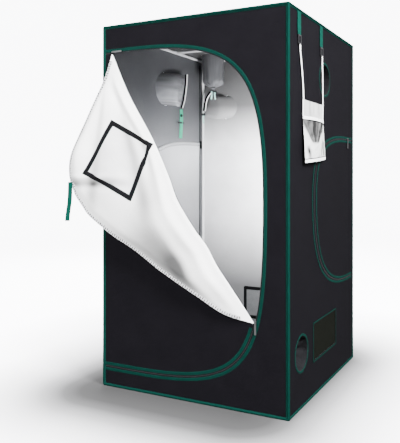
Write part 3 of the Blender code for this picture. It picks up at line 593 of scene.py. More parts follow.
def woven(name, colour, thread=0.0016, rough=(0.62, 0.82), spread=0.22, metallic=0.0, wrinkle=0.0, wrinkleScale=16.0,
          specular=0.16):
    look = Weaver.fresh(name, colour, rough, metallic, specular=specular)
    where = look.coordinates("weave")
    weave = look.crossed(where, thread)
    patches = look.cloud(where, 7.0, 5.0, 0.6)
    specks = look.cloud(where, 900.0, 2.0)
    threads = look.mix(weave, look.patchy(patches, colour, spread, 0.25), shaded(colour, 1 + 1.6 * spread))
    look.colour(look.mix(look.maths("MULTIPLY", specks, 0.35), threads, shaded(colour, 0.7)))
    look.roughen(look.maths("ADD", look.maths("MULTIPLY", patches, 0.6), look.maths("MULTIPLY", weave, 0.4)), *rough)
    if wrinkle:
        look.relief(look.cloud(where, wrinkleScale, 4.0, 0.6, 1.2), wrinkle)
    look.relief(weave, 0.0002)
    return look.material


def film(name, colour, rough=(0.26, 0.42), metallic=0.45, wrinkle=0.002, wrinkleScale=11.0, climb=None, folds=None):
    # Climb gives painted shade by height in the tent. The crease tone is painted shade in the creases that the piece's
    # own map marks
    look = Weaver.fresh(name, colour, rough, metallic)
    diamonds = look.crossed(look.coordinates("weave", math.pi / 4), 0.005)  # embossed, this many metres apart
    plain = look.coordinates("weave")
    patches = look.cloud(plain, 5.0, 4.0, 0.55)
    creases = look.cloud(plain, wrinkleScale, 5.0, 0.62, 1.6)
    tone = look.mix(look.maths("MULTIPLY", diamonds, 0.5), look.ramp(
        patches, [(0.3, shaded(colour, 0.88)), (0.7, shaded(colour, 1.06))]), shaded(colour, 1.12))
    # Painted shade by height
    if climb:
        height = look.ramp(look.maths("DIVIDE", look.parts(look.coordinates())["Z"], tent["height"]),
                           [(share, (part, part, part)) for share, part in climb])
        tone = look.mix(1.0, tone, height, "MULTIPLY")
    # Painted shade in the creases, from the piece's own map
    if folds is not None:
        mark = look.parts(look.add("ShaderNodeUVMap", uv_map="folds").outputs["UV"])["X"]
        tone = look.mix(mark, tone, shaded(colour, folds))
    look.colour(tone)
    look.roughen(look.maths("ADD", look.maths("MULTIPLY", creases, 0.7), look.maths("MULTIPLY", diamonds, 0.3)), *rough)
    look.relief(creases, wrinkle)
    look.relief(diamonds, 0.00035)
    return look.material


def tapeLook(name, colour, rib=0.0022, depth=0.00025, spread=0.18, specular=0.16):
    rough = (0.6, 0.8)
    look = Weaver.fresh(name, colour, rough, specular=specular)
    where = look.coordinates("weave")
    weave = look.crossed(where, rib, 0.7)  # ribs across the tape, a fine line along each
    broad = look.patchy(look.cloud(where, 22.0, 4.0), colour, spread)
    look.colour(look.mix(look.maths("MULTIPLY", weave, 0.6), broad, shaded(colour, 1 + 2 * spread)))
    look.roughen(weave, *rough)
    look.relief(weave, depth)
    return look.material


def hard(name, colour, rough, metallic=0.0, grain=1400.0, depth=0.00006, coat=0.0, brushed=(1, 1, 1)):
    spread = 0.07
    look = Weaver.fresh(name, colour, rough, metallic, coat)
    patches = look.cloud(look.coordinates(), 14.0, 4.0)
    fine = look.cloud(look.coordinates(scale=brushed), grain, 2.0, 0.6)
    broad = look.patchy(patches, colour, spread)
    look.colour(look.mix(look.maths("MULTIPLY", fine, 0.2), broad, shaded(colour, 1 - 2 * spread)))
    look.roughen(look.maths("ADD", look.maths("MULTIPLY", patches, 0.5), look.maths("MULTIPLY", fine, 0.5)), *rough)
    look.relief(fine, depth)
    return look.material


def meshLook(name, colour):
    look = Weaver.fresh(name, colour, (0.8, 0.8), specular=0.05)
    where = look.coordinates("weave")
    net = look.crossed(where, 0.0032, operation="MAXIMUM")
    holes = look.ramp(net, [(0.45, shaded(colour, 0.25)), (0.75, colour)])
    look.colour(look.mix(look.maths("MULTIPLY", look.cloud(where, 30.0, 3.0), 0.5), holes, shaded(colour, 1.5)))
    look.roughen(net, 0.95, 0.7)
    look.relief(net, 0.0006)
    return look.material


# Each climb below is painted shade by height, and each crease tone is painted shade in creases
looks = {
    "outer": woven("outerCloth", (0.0040, 0.0037, 0.0048), wrinkle=0.0012, specular=0.05),
    # The walls' film: painted shade by height, darker low down and high up
    "film": film("innerFilm", (0.90, 0.905, 0.93), metallic=0.3,
                 climb=[(0.0, 0.21), (0.2, 0.27), (0.42, 1.0), (0.70, 1.0), (0.83, 0.19), (1.0, 0.10)]),
    # A darker copy of the film for the left wall's inside: painted shade, darker again towards the top
    "sideFilmPaintedShade": film("sideFilmPaintedShade", (0.38, 0.39, 0.42), metallic=0.35,
                     climb=[(0.0, 0.9), (0.6, 0.60), (0.72, 0.34), (0.86, 0.28), (1.0, 0.25)]),
    # A darker copy of the film for the side doors' inside: painted shade, darker lower down
    "doorFilmPaintedShade": film("doorFilmPaintedShade", (0.62, 0.63, 0.66), metallic=0.2,
                     climb=[(0.0, 0.35), (0.38, 0.35), (0.54, 0.52), (0.66, 1.0)]),
    "flapFilm": film("flapFilm", (0.97, 0.97, 0.98), metallic=0.0, rough=(0.30, 0.44), wrinkle=0.0016, folds=0.04),
    "binding": tapeLook("bindingTape", (0.0009, 0.0165, 0.0125), specular=0.06),
    "piping": tapeLook("pipingTape", (0.0009, 0.0155, 0.0118), specular=0.06),
    "webbing": tapeLook("strapWebbing", (0.0012, 0.030, 0.0215), rib=0.0034, depth=0.0004, specular=0.08),
    "mint": tapeLook("mintWebbing", (0.045, 0.420, 0.260), rib=0.0034, depth=0.0004),
    "paleMint": tapeLook("paleMintTape", (0.33, 0.62, 0.55), rib=0.0034, depth=0.0003),
    "blackTape": tapeLook("blackTape", (0.004, 0.004, 0.0045), specular=0.06),
    "zipTape": woven("zipTape", (0.006, 0.006, 0.007), thread=0.0012, spread=0.15, specular=0.06),
    "zipCoil": hard("zipCoil", (0.012, 0.012, 0.013), (0.35, 0.5)),
    "silverCoil": hard("silverCoil", (0.50, 0.51, 0.53), (0.28, 0.4), 0.5),
    "silverTape": woven("silverTape", (0.62, 0.62, 0.64), thread=0.0014, rough=(0.3, 0.5), metallic=0.3, wrinkle=0.004,
                        wrinkleScale=90.0, specular=0.4),
    "thread": tapeLook("stitchThread", (0.010, 0.050, 0.042), rib=0.0009, depth=0.0001),
    "whiteThread": tapeLook("whiteThread", (0.75, 0.76, 0.76), rib=0.0009, depth=0.0001),
    "darkSleeve": woven("darkSleeve", (0.007, 0.007, 0.008), wrinkle=0.002, wrinkleScale=28.0),
    # A darker copy of the film for the sleeves inside: painted shade, darker near the roof and in its creases
    "sleeveFilmPaintedShade": film("sleeveFilmPaintedShade", (0.44, 0.45, 0.48), metallic=0.3, wrinkle=0.003, wrinkleScale=18.0, folds=0.18,
                       climb=[(0.0, 1.0), (0.84, 1.0), (0.91, 0.34), (1.0, 0.22)]),
    "whiteHem": tapeLook("whiteHem", (0.92, 0.92, 0.93), spread=0.05),
    "pouchFilm": film("pouchFilm", (0.96, 0.96, 0.965), metallic=0.25, rough=(0.18, 0.34), wrinkle=0.004,
                      wrinkleScale=13.0, folds=0.02),
    "pouchVeil": film("pouchVeil", (0.58, 0.58, 0.585), metallic=0.1, rough=(0.25, 0.4), wrinkle=0.003,
                      wrinkleScale=9.0, folds=0.25),
    "cover": film("windowCover", (0.80, 0.80, 0.815), metallic=0.1, rough=(0.3, 0.45), wrinkle=0.002, folds=0.07),
    "vent": meshLook("ventMesh", (0.0042, 0.0048, 0.0036)),
    "greyMesh": meshLook("greyMesh", (0.16, 0.165, 0.17)),
    "steel": hard("whiteSteel", (0.72, 0.73, 0.75), (0.24, 0.36), 0.0, coat=0.3),
    "moulding": hard("connectorMoulding", (0.62, 0.63, 0.65), (0.3, 0.42), 0.1),
    "zipMetal": hard("zipMetal", (0.46, 0.46, 0.47), (0.22, 0.36), 1.0, brushed=(1, 1, 0.05)),
    "plastic": hard("clipPlastic", (0.016, 0.016, 0.018), (0.34, 0.5), grain=900.0, depth=0.0001),
}
print("materials", len(looks))


# Doors, their outlines at the middle of the zip

frontDoor = {
    "hinge": -0.488, "far": 0.377, "top": 1.663, "bottom": 0.10, "middle": 0.9393, "straights": (0.194, 0.212),
    "handles": (0.82, 0.84, 0.856, 0.915), "piping": 0.0135, "pipingWidth": 0.0145,
}
sideDoor = {
    "hinge": 0.470, "far": -0.164, "top": 1.251, "bottom": 0.485, "middle": 0.940, "straights": (0.20, 0.13),
    "handles": (0.82, 0.64, 0.52, 0.86), "piping": 0.0105, "pipingWidth": 0.011, "spread": 1.67, "clear": 0.455,
}


def frontPath():
    return doorPath(*(frontDoor[key] for key in ("hinge", "far", "top", "bottom", "middle", "straights", "handles")))


def sidePath(growth=0.0):
    d = sideDoor
    return doorPath(d["hinge"], d["far"] - growth * (1 + d["spread"]), d["top"] + growth, d["bottom"] - growth,
                    d["middle"], d["straights"], d["handles"])


# The fold across the front door: X down the fold, Y out over the flap, Z away from its bright side

fold = {"top": Vector((-0.445, 1.663)), "footHeight": 0.398, "angle": math.radians(169), "offset": 0.001,
        "margin": 0.0015}


def foldFrame():
    path = frontPath()
    above, below = next((here, there) for here, there in zip(path, path[1:])
                        if there.y <= fold["footHeight"] <= here.y)
    foot = below.lerp(above, (fold["footHeight"] - below.y) / (above.y - below.y))
    fold["along"] = (foot - fold["top"]).normalized()
    fold["across"] = Vector((-fold["along"].y, fold["along"].x))
    fold["length"] = (foot - fold["top"]).length
    a, b = fold["along"], fold["across"]
    turn = Matrix(((a.x, b.x, 0), (a.y, b.y, 0), (0, 0, 1))).to_4x4()
    shut = onWall("front", middleDepth - fold["offset"]) @ Matrix.Translation((*fold["top"], 0)) @ turn
    fold["hung"] = shut @ Matrix.Rotation(fold["angle"], 4, "X")


def inFold(point):
    away = Vector(point) - fold["top"]
    return Vector((away.dot(fold["along"]), away.dot(fold["across"])))


def clippedBelowFold(loop, margin):  # The part of a loop on the hinge side of the fold
    kept = []
    for here, there in sidesOf(loop):
        a, b = inFold(here).y + margin, inFold(there).y + margin
        if a <= 0:
            kept.append(here)
        if a * b < 0:
            kept.append(here.lerp(there, a / (a - b)))
    return kept


foldFrame()


# Walls, roof, floor and tray

clothLook = {"cell": 0.025, "waveScale": 3.2, "calm": (0.012, 0.06)}  # a wall's cells and waves, still by its edges
holes = {
    "rightUpper": (0.076, -0.010, 1.533), "rightLower": (0.078, -0.340, 0.250), "leftUpper": (0.095, -0.055, 1.558),
    "back": (0.075, 0.325, 1.485), "roof": (0.070, -0.355, 0.385),
}
vents = {"width": 0.36, "height": 0.19, "sill": 0.163, "frame": 0.011, "rim": 0.006, "backTape": 0.020,
         "rightRun": -0.005, "backRun": 0.013}
holeGap = {"port": 0.0014, "vent": 0.0008}  # how much wider a wall's hole is on each side than what sits in it


def portHole(name):
    radius, x, y = holes[name]
    return circle(radius + holeGap["port"], x, y)


def ventLoop(inset, run):  # A vent's outline, this far in from its outer edge
    width, height = vents["width"] - 2 * inset, vents["height"] - 2 * inset
    return rectangle(width, height, run, vents["sill"] + vents["height"] / 2)


def ventHole(run):
    return ventLoop(vents["frame"] - holeGap["vent"], run)


def loopArea(loop):
    return abs(sum(a[0] * b[1] - b[0] * a[1] for a, b in sidesOf(loop))) / 2


def stretched(loops):  # Says what a wall was cut to: its own outline, less its holes
    outer = np.array([p[:] for p in loops[0]])
    width, length = (float(part) for part in outer.max(0) - outer.min(0))
    area = loopArea(loops[0]) - sum(loopArea(loop) for loop in loops[1:])
    if area < 0.35 * width * length:  # a wall that is mostly doorway is cut as strips round it
        width = area / length
    return width, length, area


def wallPiece(name, wall, loops, node, seed, sag=0.0035, body="tent"):
    # A sheet of tent cloth stretched in a wall, pulled slightly inwards away from its seams
    flat, faces = triangulated(loops, clothLook["cell"])
    u, v = flat[:, 0], flat[:, 1]
    calm = hump(edgeDistance(loops, u, v), *clothLook["calm"])
    heights = -calm * sag * (0.55 + 0.45 * ripple(u, v, clothLook["waveScale"], seed))
    verts, made, slots, layer = sheetShape(flat, faces, heights, onWall(wall, middleDepth), tent["cloth"])
    piece = newPiece(name, verts, made, [looks["outer"], looks["film"]], {"weave": layer}, slots, smooth=50)
    settle(piece, body, (node,))
    cut[name] = stretched(loops)
    return piece


cut = {}  # each sheet's flat width, length and area


def makeWalls():
    half, height = tent["half"], tent["height"]
    rise = height - 2 * clothDepth
    narrowHalf = half - clothDepth - tent["cloth"] - tent["gap"]
    broad = rectangle(2 * (half - clothDepth), rise, 0, height / 2)
    narrow = rectangle(2 * narrowHalf, rise, 0, height / 2)
    frontHole = doorLoop(frontPath(), doorGap)
    sideHole = doorLoop(sidePath(), doorGap)
    wallPiece("frontWall", "front", [broad, frontHole], "front_wall", seed=1.5, sag=0.0)
    wallPiece("backWall", "back", [broad, portHole("back"), ventHole(vents["backRun"])], "back_wall", seed=2.5)
    rightHoles = [sideHole, portHole("rightUpper"), portHole("rightLower"), ventHole(vents["rightRun"])]
    wallPiece("rightWall", "right", [narrow, *rightHoles], "right_wall", seed=3.5)
    left = wallPiece("leftWall", "left", [narrow, mirrored(sideHole)[::-1], portHole("leftUpper")], "left_wall",
                     seed=4.5)
    # The left wall's inside gets the darker copy of the film, as painted shade
    left.data.materials[1] = looks["sideFilmPaintedShade"]
    lid = rectangle(2 * narrowHalf, 2 * narrowHalf)
    wallPiece("roofPanel", "roof", [lid, portHole("roof")], "roof_panel", seed=5.5, sag=0.003)
    makeFloor(half)


def makeFloor(half):
    side = half - tent["bindingLeg"] - tent["gap"]
    base = [rectangle(2 * side, 2 * side)]
    flat, faces = triangulated(base, 0.05)
    place = Matrix.Translation((0, 0, tent["cloth"] / 2))
    verts, made, slots, layer = sheetShape(flat, faces, np.zeros(len(flat)), place, tent["cloth"])
    piece = newPiece("floorPanel", verts, made, [looks["film"], looks["outer"]], {"weave": layer}, slots, smooth=50)
    settle(piece, "tent", ("floor_panel",))
    cut["floorPanel"] = stretched(base)


trayShape = {"side": 0.4718, "foot": 0.0015, "height": 0.06, "cloth": 0.0012, "cell": 0.03,
             "levels": (0.12, 0.3, 0.55, 0.8, 1.0)}  # the rings of its sides, as shares of their height


def makeTray():  # A loose tray of film: a flat floor that turns up into four soft sides
    t = trayShape
    count = round(2 * t["side"] / t["cell"])
    grid = [-t["side"] + 2 * t["side"] * i / count for i in range(count + 1)]
    verts = [(x, y, t["foot"] + t["cloth"]) for y in grid for x in grid]
    faces = gridFaces(count, count)
    rim = ([(i, 0) for i in range(count)] + [(count, j) for j in range(count)]
           + [(i, count) for i in range(count, 0, -1)] + [(0, j) for j in range(count, 0, -1)])
    lower = [j * (count + 1) + i for i, j in rim]
    for level in t["levels"]:
        ring = []
        for place, (i, j) in enumerate(rim):
            lean = 0.0025 * level * math.sin(place * 0.55) + 0.0018 * level * math.sin(place * 1.37 + 1)
            x, y = grid[i], grid[j]
            inward = Vector((-np.sign(x) * (abs(x) > t["side"] - 1e-6), -np.sign(y) * (abs(y) > t["side"] - 1e-6)))
            ring.append(len(verts))
            drop = 0.004 * level * (0.5 + 0.5 * math.sin(place * 0.31))
            verts.append((x + inward.x * (0.0022 + lean) * level, y + inward.y * (0.0022 + lean) * level,
                          t["foot"] + t["cloth"] + (t["height"] - t["cloth"]) * level - drop))
        faces += [(lower[i], lower[(i + 1) % len(lower)], ring[(i + 1) % len(ring)], ring[i])
                  for i in range(len(ring))]
        lower = ring
    layer = [(v[0] + v[2] * 0.7, v[1] + v[2] * 0.7) for v in verts]
    piece = newPiece("floorTray", verts, faces, [looks["film"]], {"weave": layer}, smooth=50)
    thicken(piece, t["cloth"], offset=-1)
    settle(piece, "tray", ("floor_tray",))
    size = 2 * (t["side"] + t["height"])
    cut["floorTray"] = (size, size, size * size)


def thicken(piece, thickness, offset=0.0, behind=0):  # Turns an open surface into a closed sheet
    solid = piece.modifiers.new("thickness", "SOLIDIFY")
    solid.material_offset = solid.material_offset_rim = behind
    solid.thickness, solid.offset, solid.use_even_offset = thickness, offset, False
    applied(piece)


def applied(piece):
    bpy.context.view_layer.update()
    mesh = bpy.data.meshes.new_from_object(piece.evaluated_get(bpy.context.evaluated_depsgraph_get()))
    old, piece.data = piece.data, mesh
    piece.modifiers.clear()
    mesh.name = piece.name
    bpy.data.meshes.remove(old)


def makeSideDoors():  # Two shut doors
    for side, body, node in (("right", "right_door", "right_side_door"), ("left", "left_door", "left_side_door")):
        loop = doorLoop(sidePath(), -doorGap)
        if side == "left":
            loop = mirrored(loop)[::-1]
        piece = wallPiece(side + "Door", side, [loop], node, body=body, sag=0.004, seed=6.5 + len(side))
        # The door's inside gets the darker copy of the film, as painted shade
        piece.data.materials[1] = looks["doorFilmPaintedShade"]


# Small repeats along a line: stitches, zip coils and teeth

def runnerGroup():
    # Sets one small bar after another along the edges of a mesh, across them and flat on the way out
    group = bpy.data.node_groups.new("barsAlongPath", "GeometryNodeTree")
    face = group.interface
    face.new_socket("Path", in_out="INPUT", socket_type="NodeSocketGeometry")
    for name, kind, value in (("Spacing", "NodeSocketFloat", 0.004), ("Bar", "NodeSocketVector", (0.002, 0.001, 0.001)),
                              ("Lift", "NodeSocketFloat", 0.0), ("Zigzag", "NodeSocketFloat", 0.0)):
        face.new_socket(name, in_out="INPUT", socket_type=kind).default_value = value
    face.new_socket("Material", in_out="INPUT", socket_type="NodeSocketMaterial")
    face.new_socket("Bars", in_out="OUTPUT", socket_type="NodeSocketGeometry")
    nodesOf, links = group.nodes, group.links
    entry, result = nodesOf.new("NodeGroupInput"), nodesOf.new("NodeGroupOutput")

    def node(kind, **settings):
        made = nodesOf.new(kind)
        for key, value in settings.items():
            setattr(made, key, value)
        return made

    curve = node("GeometryNodeMeshToCurve")
    evenCurve = node("GeometryNodeResampleCurve", mode="LENGTH")
    out = node("GeometryNodeInputNamedAttribute", data_type="FLOAT_VECTOR")
    out.inputs["Name"].default_value = "out"
    tangent = node("GeometryNodeInputTangent")
    alongAxis = node("FunctionNodeAlignRotationToVector", axis="X")
    outAxis = node("FunctionNodeAlignRotationToVector", axis="Z", pivot_axis="X")
    side = node("ShaderNodeVectorMath", operation="CROSS_PRODUCT")
    index, half = node("GeometryNodeInputIndex"), node("ShaderNodeMath", operation="MODULO")
    half.inputs[1].default_value = 2
    swing = node("ShaderNodeMath", operation="MULTIPLY_ADD")
    swing.inputs[1].default_value, swing.inputs[2].default_value = 2, -1
    amount = node("ShaderNodeMath", operation="MULTIPLY")
    sideways = node("ShaderNodeVectorMath", operation="SCALE")
    lifted = node("ShaderNodeVectorMath", operation="SCALE")
    offset = node("ShaderNodeVectorMath", operation="ADD")
    move = node("GeometryNodeSetPosition")
    bar, instance = node("GeometryNodeMeshIcoSphere"), node("GeometryNodeInstanceOnPoints")
    bar.inputs["Radius"].default_value, bar.inputs["Subdivisions"].default_value = 0.5, 1
    real, dress = node("GeometryNodeRealizeInstances"), node("GeometryNodeSetMaterial")
    for start, end in (
            (entry.outputs["Path"], curve.inputs["Mesh"]),
            (curve.outputs["Curve"], evenCurve.inputs["Curve"]),
            (entry.outputs["Spacing"], evenCurve.inputs["Length"]),
            (evenCurve.outputs["Curve"], move.inputs["Geometry"]),
            (tangent.outputs["Tangent"], alongAxis.inputs["Vector"]),
            (alongAxis.outputs["Rotation"], outAxis.inputs["Rotation"]),
            (out.outputs["Attribute"], outAxis.inputs["Vector"]),
            (out.outputs["Attribute"], side.inputs[0]), (tangent.outputs["Tangent"], side.inputs[1]),
            (index.outputs["Index"], half.inputs[0]), (half.outputs[0], swing.inputs[0]),
            (swing.outputs[0], amount.inputs[0]), (entry.outputs["Zigzag"], amount.inputs[1]),
            (side.outputs[0], sideways.inputs[0]), (amount.outputs[0], sideways.inputs["Scale"]),
            (out.outputs["Attribute"], lifted.inputs[0]), (entry.outputs["Lift"], lifted.inputs["Scale"]),
            (sideways.outputs[0], offset.inputs[0]), (lifted.outputs[0], offset.inputs[1]),
            (offset.outputs[0], move.inputs["Offset"]), (move.outputs["Geometry"], instance.inputs["Points"]),
            (bar.outputs["Mesh"], instance.inputs["Instance"]),
            (outAxis.outputs["Rotation"], instance.inputs["Rotation"]),
            (entry.outputs["Bar"], instance.inputs["Scale"]), (instance.outputs["Instances"], real.inputs["Geometry"]),
            (real.outputs["Geometry"], dress.inputs["Geometry"]), (entry.outputs["Material"], dress.inputs["Material"]),
            (dress.outputs["Geometry"], result.inputs["Bars"])):
        links.new(start, end)
    return group


runner = runnerGroup()


def bars(name, lines, spacing, bar, material, lift=0.0, zigzag=0.0):
    # One mesh of small bars along several lines. Each line is its points and the way out at each point, or one for all
    verts, edges, outs = [], [], []
    for points, out in lines:
        first = len(verts)
        verts += [tuple(p) for p in points]
        outs += [tuple(o) for o in out] if isinstance(out, list) else [tuple(out)] * len(points)
        edges += [(first + i, first + i + 1) for i in range(len(points) - 1)]
    mesh = bpy.data.meshes.new(name)
    mesh.from_pydata(verts, edges, [])
    mesh.attributes.new("out", "FLOAT_VECTOR", "POINT").data.foreach_set("vector", np.array(outs, np.float32).ravel())
    made = placed(name, mesh)
    step = made.modifiers.new("bars", "NODES")
    step.node_group = runner
    sockets = {item.name: item.identifier for item in runner.interface.items_tree if item.in_out == "INPUT"}
    for socket, value in (("Spacing", spacing), ("Bar", bar), ("Lift", lift), ("Zigzag", zigzag),
                          ("Material", material)):
        step[sockets[socket]] = value
    made.update_tag()
    applied(made)
    made.data.shade_smooth()
    return made


def lineOn(wall, path, depth):
    place = onWall(wall, depth)
    return [place @ Vector((*p, 0)) for p in path], place.to_3x3() @ Vector((0, 0, 1))


def stitched(name, lines, body, material="thread", spacing=0.0042, size=(0.0028, 0.0007, 0.0007), lift=0.0001):
    return settle(bars(name, lines, spacing, size, looks[material], lift), body)


# Zips, and the green piping beside them

zipShape = {"tapeWidth": 0.0165, "coilWidth": 0.0046, "pitch": 0.0022, "tapeDepth": 0.00125, "coilLift": 0.0002,
            "cloth": 0.0004, "coilHeight": 0.0013, "toothHeight": 0.0015, "toothLift": 0.0001, "toothAway": 0.001}
trim = {"depth": 0.00085, "crown": 0.0007, "cloth": 0.0005, "stitchInset": 0.0016}


def pipingPiece(name, wall, path, body, node, width=frontDoor["pipingWidth"]):  # Gives the lines of its stitches
    points, out = lineOn(wall, path, trim["depth"])
    piece = strip(name, points, out, width, trim["crown"], looks["piping"], thickness=trim["cloth"], steps=7)
    settle(piece, body, (node,))
    return [lineOn(wall, grown(path, side * (width / 2 - trim["stitchInset"])), trim["depth"]) for side in (-1, 1)]


def finePath(path):
    return evenly(path, 0.012, closed=False)


def closedZip(name, wall, path, body):  # The two tapes and the meshed coil of a zip that is shut
    points, out = lineOn(wall, path, zipShape["tapeDepth"])
    z = zipShape
    tape = strip(name + "Tape", points, out, z["tapeWidth"], 0.0, looks["zipTape"], thickness=z["cloth"])
    settle(tape, body)
    size = (z["pitch"] * 0.86, z["coilWidth"], z["coilHeight"])
    settle(bars(name + "Coil", [(points, out)], z["pitch"], size, looks["zipCoil"], z["coilLift"]), body)


def openSide(name, wall, path, body):  # One side of an open zip: half the tape, and teeth along its free edge
    z = zipShape
    points, out = lineOn(wall, grown(path, z["tapeWidth"] / 4), z["tapeDepth"])
    tape = strip(name + "Tape", points, out, z["tapeWidth"] / 2, 0.0, looks["zipTape"], thickness=z["cloth"], steps=3)
    settle(tape, body)
    line = lineOn(wall, grown(path, z["toothAway"]), z["tapeDepth"])
    size = (z["pitch"] * 0.7, z["coilWidth"] * 0.62, z["toothHeight"])
    settle(bars(name + "Teeth", [line], z["pitch"], size, looks["zipCoil"], z["toothLift"]), body)


def makeFrontZips():
    path = finePath(frontPath())
    start = next(i for i, p in enumerate(path) if p.x > fold["top"].x)
    end = next(i for i, p in enumerate(path) if inFold(p).y < 0 and p.y < fold["footHeight"])
    closedZip("frontZipTop", "front", path[:start + 1], "tent")
    closedZip("frontZipLow", "front", path[end - 1:], "tent")
    openSide("frontZipSide", "front", path[start:end], "tent")
    outer = pipingPiece("frontDoorPiping", "front", grown(path, frontDoor["piping"]), "tent", "front_door_piping")
    below = next(i for i, p in enumerate(path)
                 if inFold(p).y < -frontDoor["pipingWidth"] and p.y < fold["footHeight"])
    inner = pipingPiece("frontDoorLowerPiping", "front", grown(path, -frontDoor["piping"])[below:], "tent",
                        "front_door_lower_piping")
    stitched("frontDoorStitches", outer + inner, "tent")


def makeSideZips():
    path = finePath(sidePath())
    for side, body in (("right", "right_door"), ("left", "left_door")):
        turn = mirrored if side == "left" else list
        closedZip(side + "Zip", side, turn(path), "tent")
        wallLines = pipingPiece(side + "WallPiping", side, turn(finePath(sidePath(sideDoor["piping"]))), "tent",
                                side + "_side_wall_piping", sideDoor["pipingWidth"])
        doorLines = pipingPiece(side + "DoorPiping", side, turn(finePath(sidePath(-sideDoor["piping"]))), body,
                                side + "_side_door_piping", sideDoor["pipingWidth"])
        stitched(side + "WallStitches", wallLines, "tent")
        clear = [([p for p in line if p.y < sideDoor["clear"]], out) for line, out in doorLines]
        stitched(side + "DoorStitches", clear, body)


# Binding over the twelve edges

bindingShape = {"leg": 0.0145, "bead": 0.0064, "beadInset": 0.0030, "round": 0.0035, "segments": 3, "cell": 0.03,
                "wave": 0.0004, "stitch": 0.0028}


def makeBinding():
    half, height, leg = tent["half"], tent["height"], bindingShape["leg"]
    shape = bmesh.new()
    bmesh.ops.create_cube(shape, size=1)
    bmesh.ops.scale(shape, vec=(2 * half, 2 * half, height), verts=shape.verts)
    bmesh.ops.translate(shape, vec=(0, 0, height / 2), verts=shape.verts)
    faces, edges = list(shape.faces), list(shape.edges)
    bmesh.ops.inset_individual(shape, faces=faces, thickness=leg, use_even_offset=True)
    bmesh.ops.delete(shape, geom=faces, context="FACES")
    bmesh.ops.bevel(shape, geom=[e for e in edges if e.is_valid], offset=bindingShape["round"],
                    segments=bindingShape["segments"], affect="EDGES", profile=0.5)
    for axis in range(3):
        cells = round((height if axis == 2 else 2 * half) / bindingShape["cell"])
        lengthwise = [e for e in shape.edges if abs(e.verts[0].co[axis] - e.verts[1].co[axis]) > 0.3]
        bmesh.ops.subdivide_edges(shape, edges=lengthwise, cuts=cells - 1)
    for vert in shape.verts:
        co = vert.co
        pull = 0.5 + 0.5 * noise.noise(co * 14)
        middle = Vector((0, 0, height / 2))
        size = Vector((half, half, height / 2))
        away = Vector([(c - m) / s for c, m, s in zip(co, middle, size)])
        vert.co = co - Vector([np.sign(a) * (abs(a) > 0.999) for a in away]) * pull * bindingShape["wave"]
    bmesh.ops.recalc_face_normals(shape, faces=shape.faces)
    marks = shape.loops.layers.uv.new("weave")
    for face in shape.faces:
        spans = [max(v.co[a] for v in face.verts) - min(v.co[a] for v in face.verts) for a in range(3)]
        axis = spans.index(max(spans))
        others = [a for a in range(3) if a != axis]
        for loop in face.loops:
            loop[marks].uv = (loop.vert.co[axis], loop.vert.co[others[0]] + loop.vert.co[others[1]])
    mesh = bpy.data.meshes.new("edgeBinding")
    shape.to_mesh(mesh)
    shape.free()
    mesh.materials.append(looks["binding"])
    mesh.shade_smooth()
    piece = placed("edgeBinding", mesh)
    thicken(piece, tent["binding"] * 0.9, offset=-1)
    piece.data.shade_smooth()
    settle(piece, "tent", ("edge_binding",))
    inset = leg - bindingShape["stitch"]
    lines = []
    for wall in ("front", "back", "left", "right", "roof"):
        low, high = (inset - half, half - inset) if wall == "roof" else (inset, height - inset)
        corners = [Vector(pair) for pair in ((inset - half, low), (half - inset, low), (half - inset, high),
                                             (inset - half, high))]
        lines += [lineOn(wall, [a, b], 0.0001) for a, b in sidesOf(corners)]
    stitched("bindingStitches", lines, "tent", spacing=0.006, size=(0.0042, 0.0007, 0.0006))


def makeEdgePiping():  # The rounded bead that the binding makes along every edge
    radius, inset = bindingShape["bead"], bindingShape["beadInset"]
    low, high, side = radius, tent["height"] - inset, tent["half"] - inset
    cords = []
    for z in (low, high):
        cords += sidesOf([Vector((a * side, b * side, z)) for a, b in ((1, 1), (-1, 1), (-1, -1), (1, -1))])
    cords += [(Vector((a * side, b * side, low)), Vector((a * side, b * side, high))) for a in (-1, 1) for b in (-1, 1)]
    made = [cord("edgePiping", [a.lerp(b, i / 40) for i in range(41)], radius, looks["binding"], 12)
            for a, b in cords]
    settle(joined("edgePiping", made), "tent")


# Mesh vents

ventSides = {  # run, look inside, slot, depth of the frame, way its tape faces, width of the tape
    "right": (vents["rightRun"], "vent", "vent_mesh", 0.0005, 1, vents["frame"]),
    "back": (vents["backRun"], "greyMesh", "black_tape", 0.0046, -1, vents["backTape"]),
}


def ventFrame(name, place, loop, overlap, lifts, out, width, look):
    # Four tapes round a vent. Each runs on past its corners, and every second one is lifted over its neighbours
    tapes = []
    for which, (a, b) in enumerate(sidesOf(loop)):
        reach = (b - a).normalized() * overlap / 2
        line = [place @ Vector((*p, lifts[which % 2])) for p in evenly([a - reach, b + reach], 0.03, closed=False)]
        tapes.append(strip(name, line, out, width, 0.0005, looks[look], thickness=0.0004))
    return joined(name, tapes)


def makeVents():
    for side, (run, look, slot, depth, inward, broad) in ventSides.items():
        frameWidth, name = vents["frame"], side + "VentMesh"
        inner = ventLoop(frameWidth, run)
        flat, faces = triangulated([inner], 0.012)
        calm = hump(edgeDistance([inner], flat[:, 0], flat[:, 1]), 0.0, 0.03)
        heights = calm * 0.0015 * ripple(flat[:, 0], flat[:, 1], 12, 3.0) - 0.0004
        verts, made, slots, layer = sheetShape(flat, faces, heights, onWall(side, middleDepth), 0.0006)
        panel = newPiece(name, verts, made, [looks["vent"], looks[look]], {"weave": layer}, slots, smooth=50)
        settle(panel, "tent", (side + "_vent",))
        cut[name] = (vents["width"], vents["height"], loopArea(inner))
        place = onWall(side, depth)
        out = place.to_3x3() @ Vector((0, 0, inward))
        tapes = ventFrame(side + "VentTape", place, ventLoop(frameWidth / 2, run), frameWidth, (0.0, 0.0003 * inward),
                          out, broad, "blackTape")
        settle(tapes, "tent")
        if side == "right":
            rim = ventFrame("rightVentRim", place, ventLoop(vents["rim"] / 2, run), vents["rim"], (0.0006, 0.0006),
                            out, vents["rim"], "binding")
            settle(rim, "tent")


# Front door: the zipped lower part, and the flap folded over it

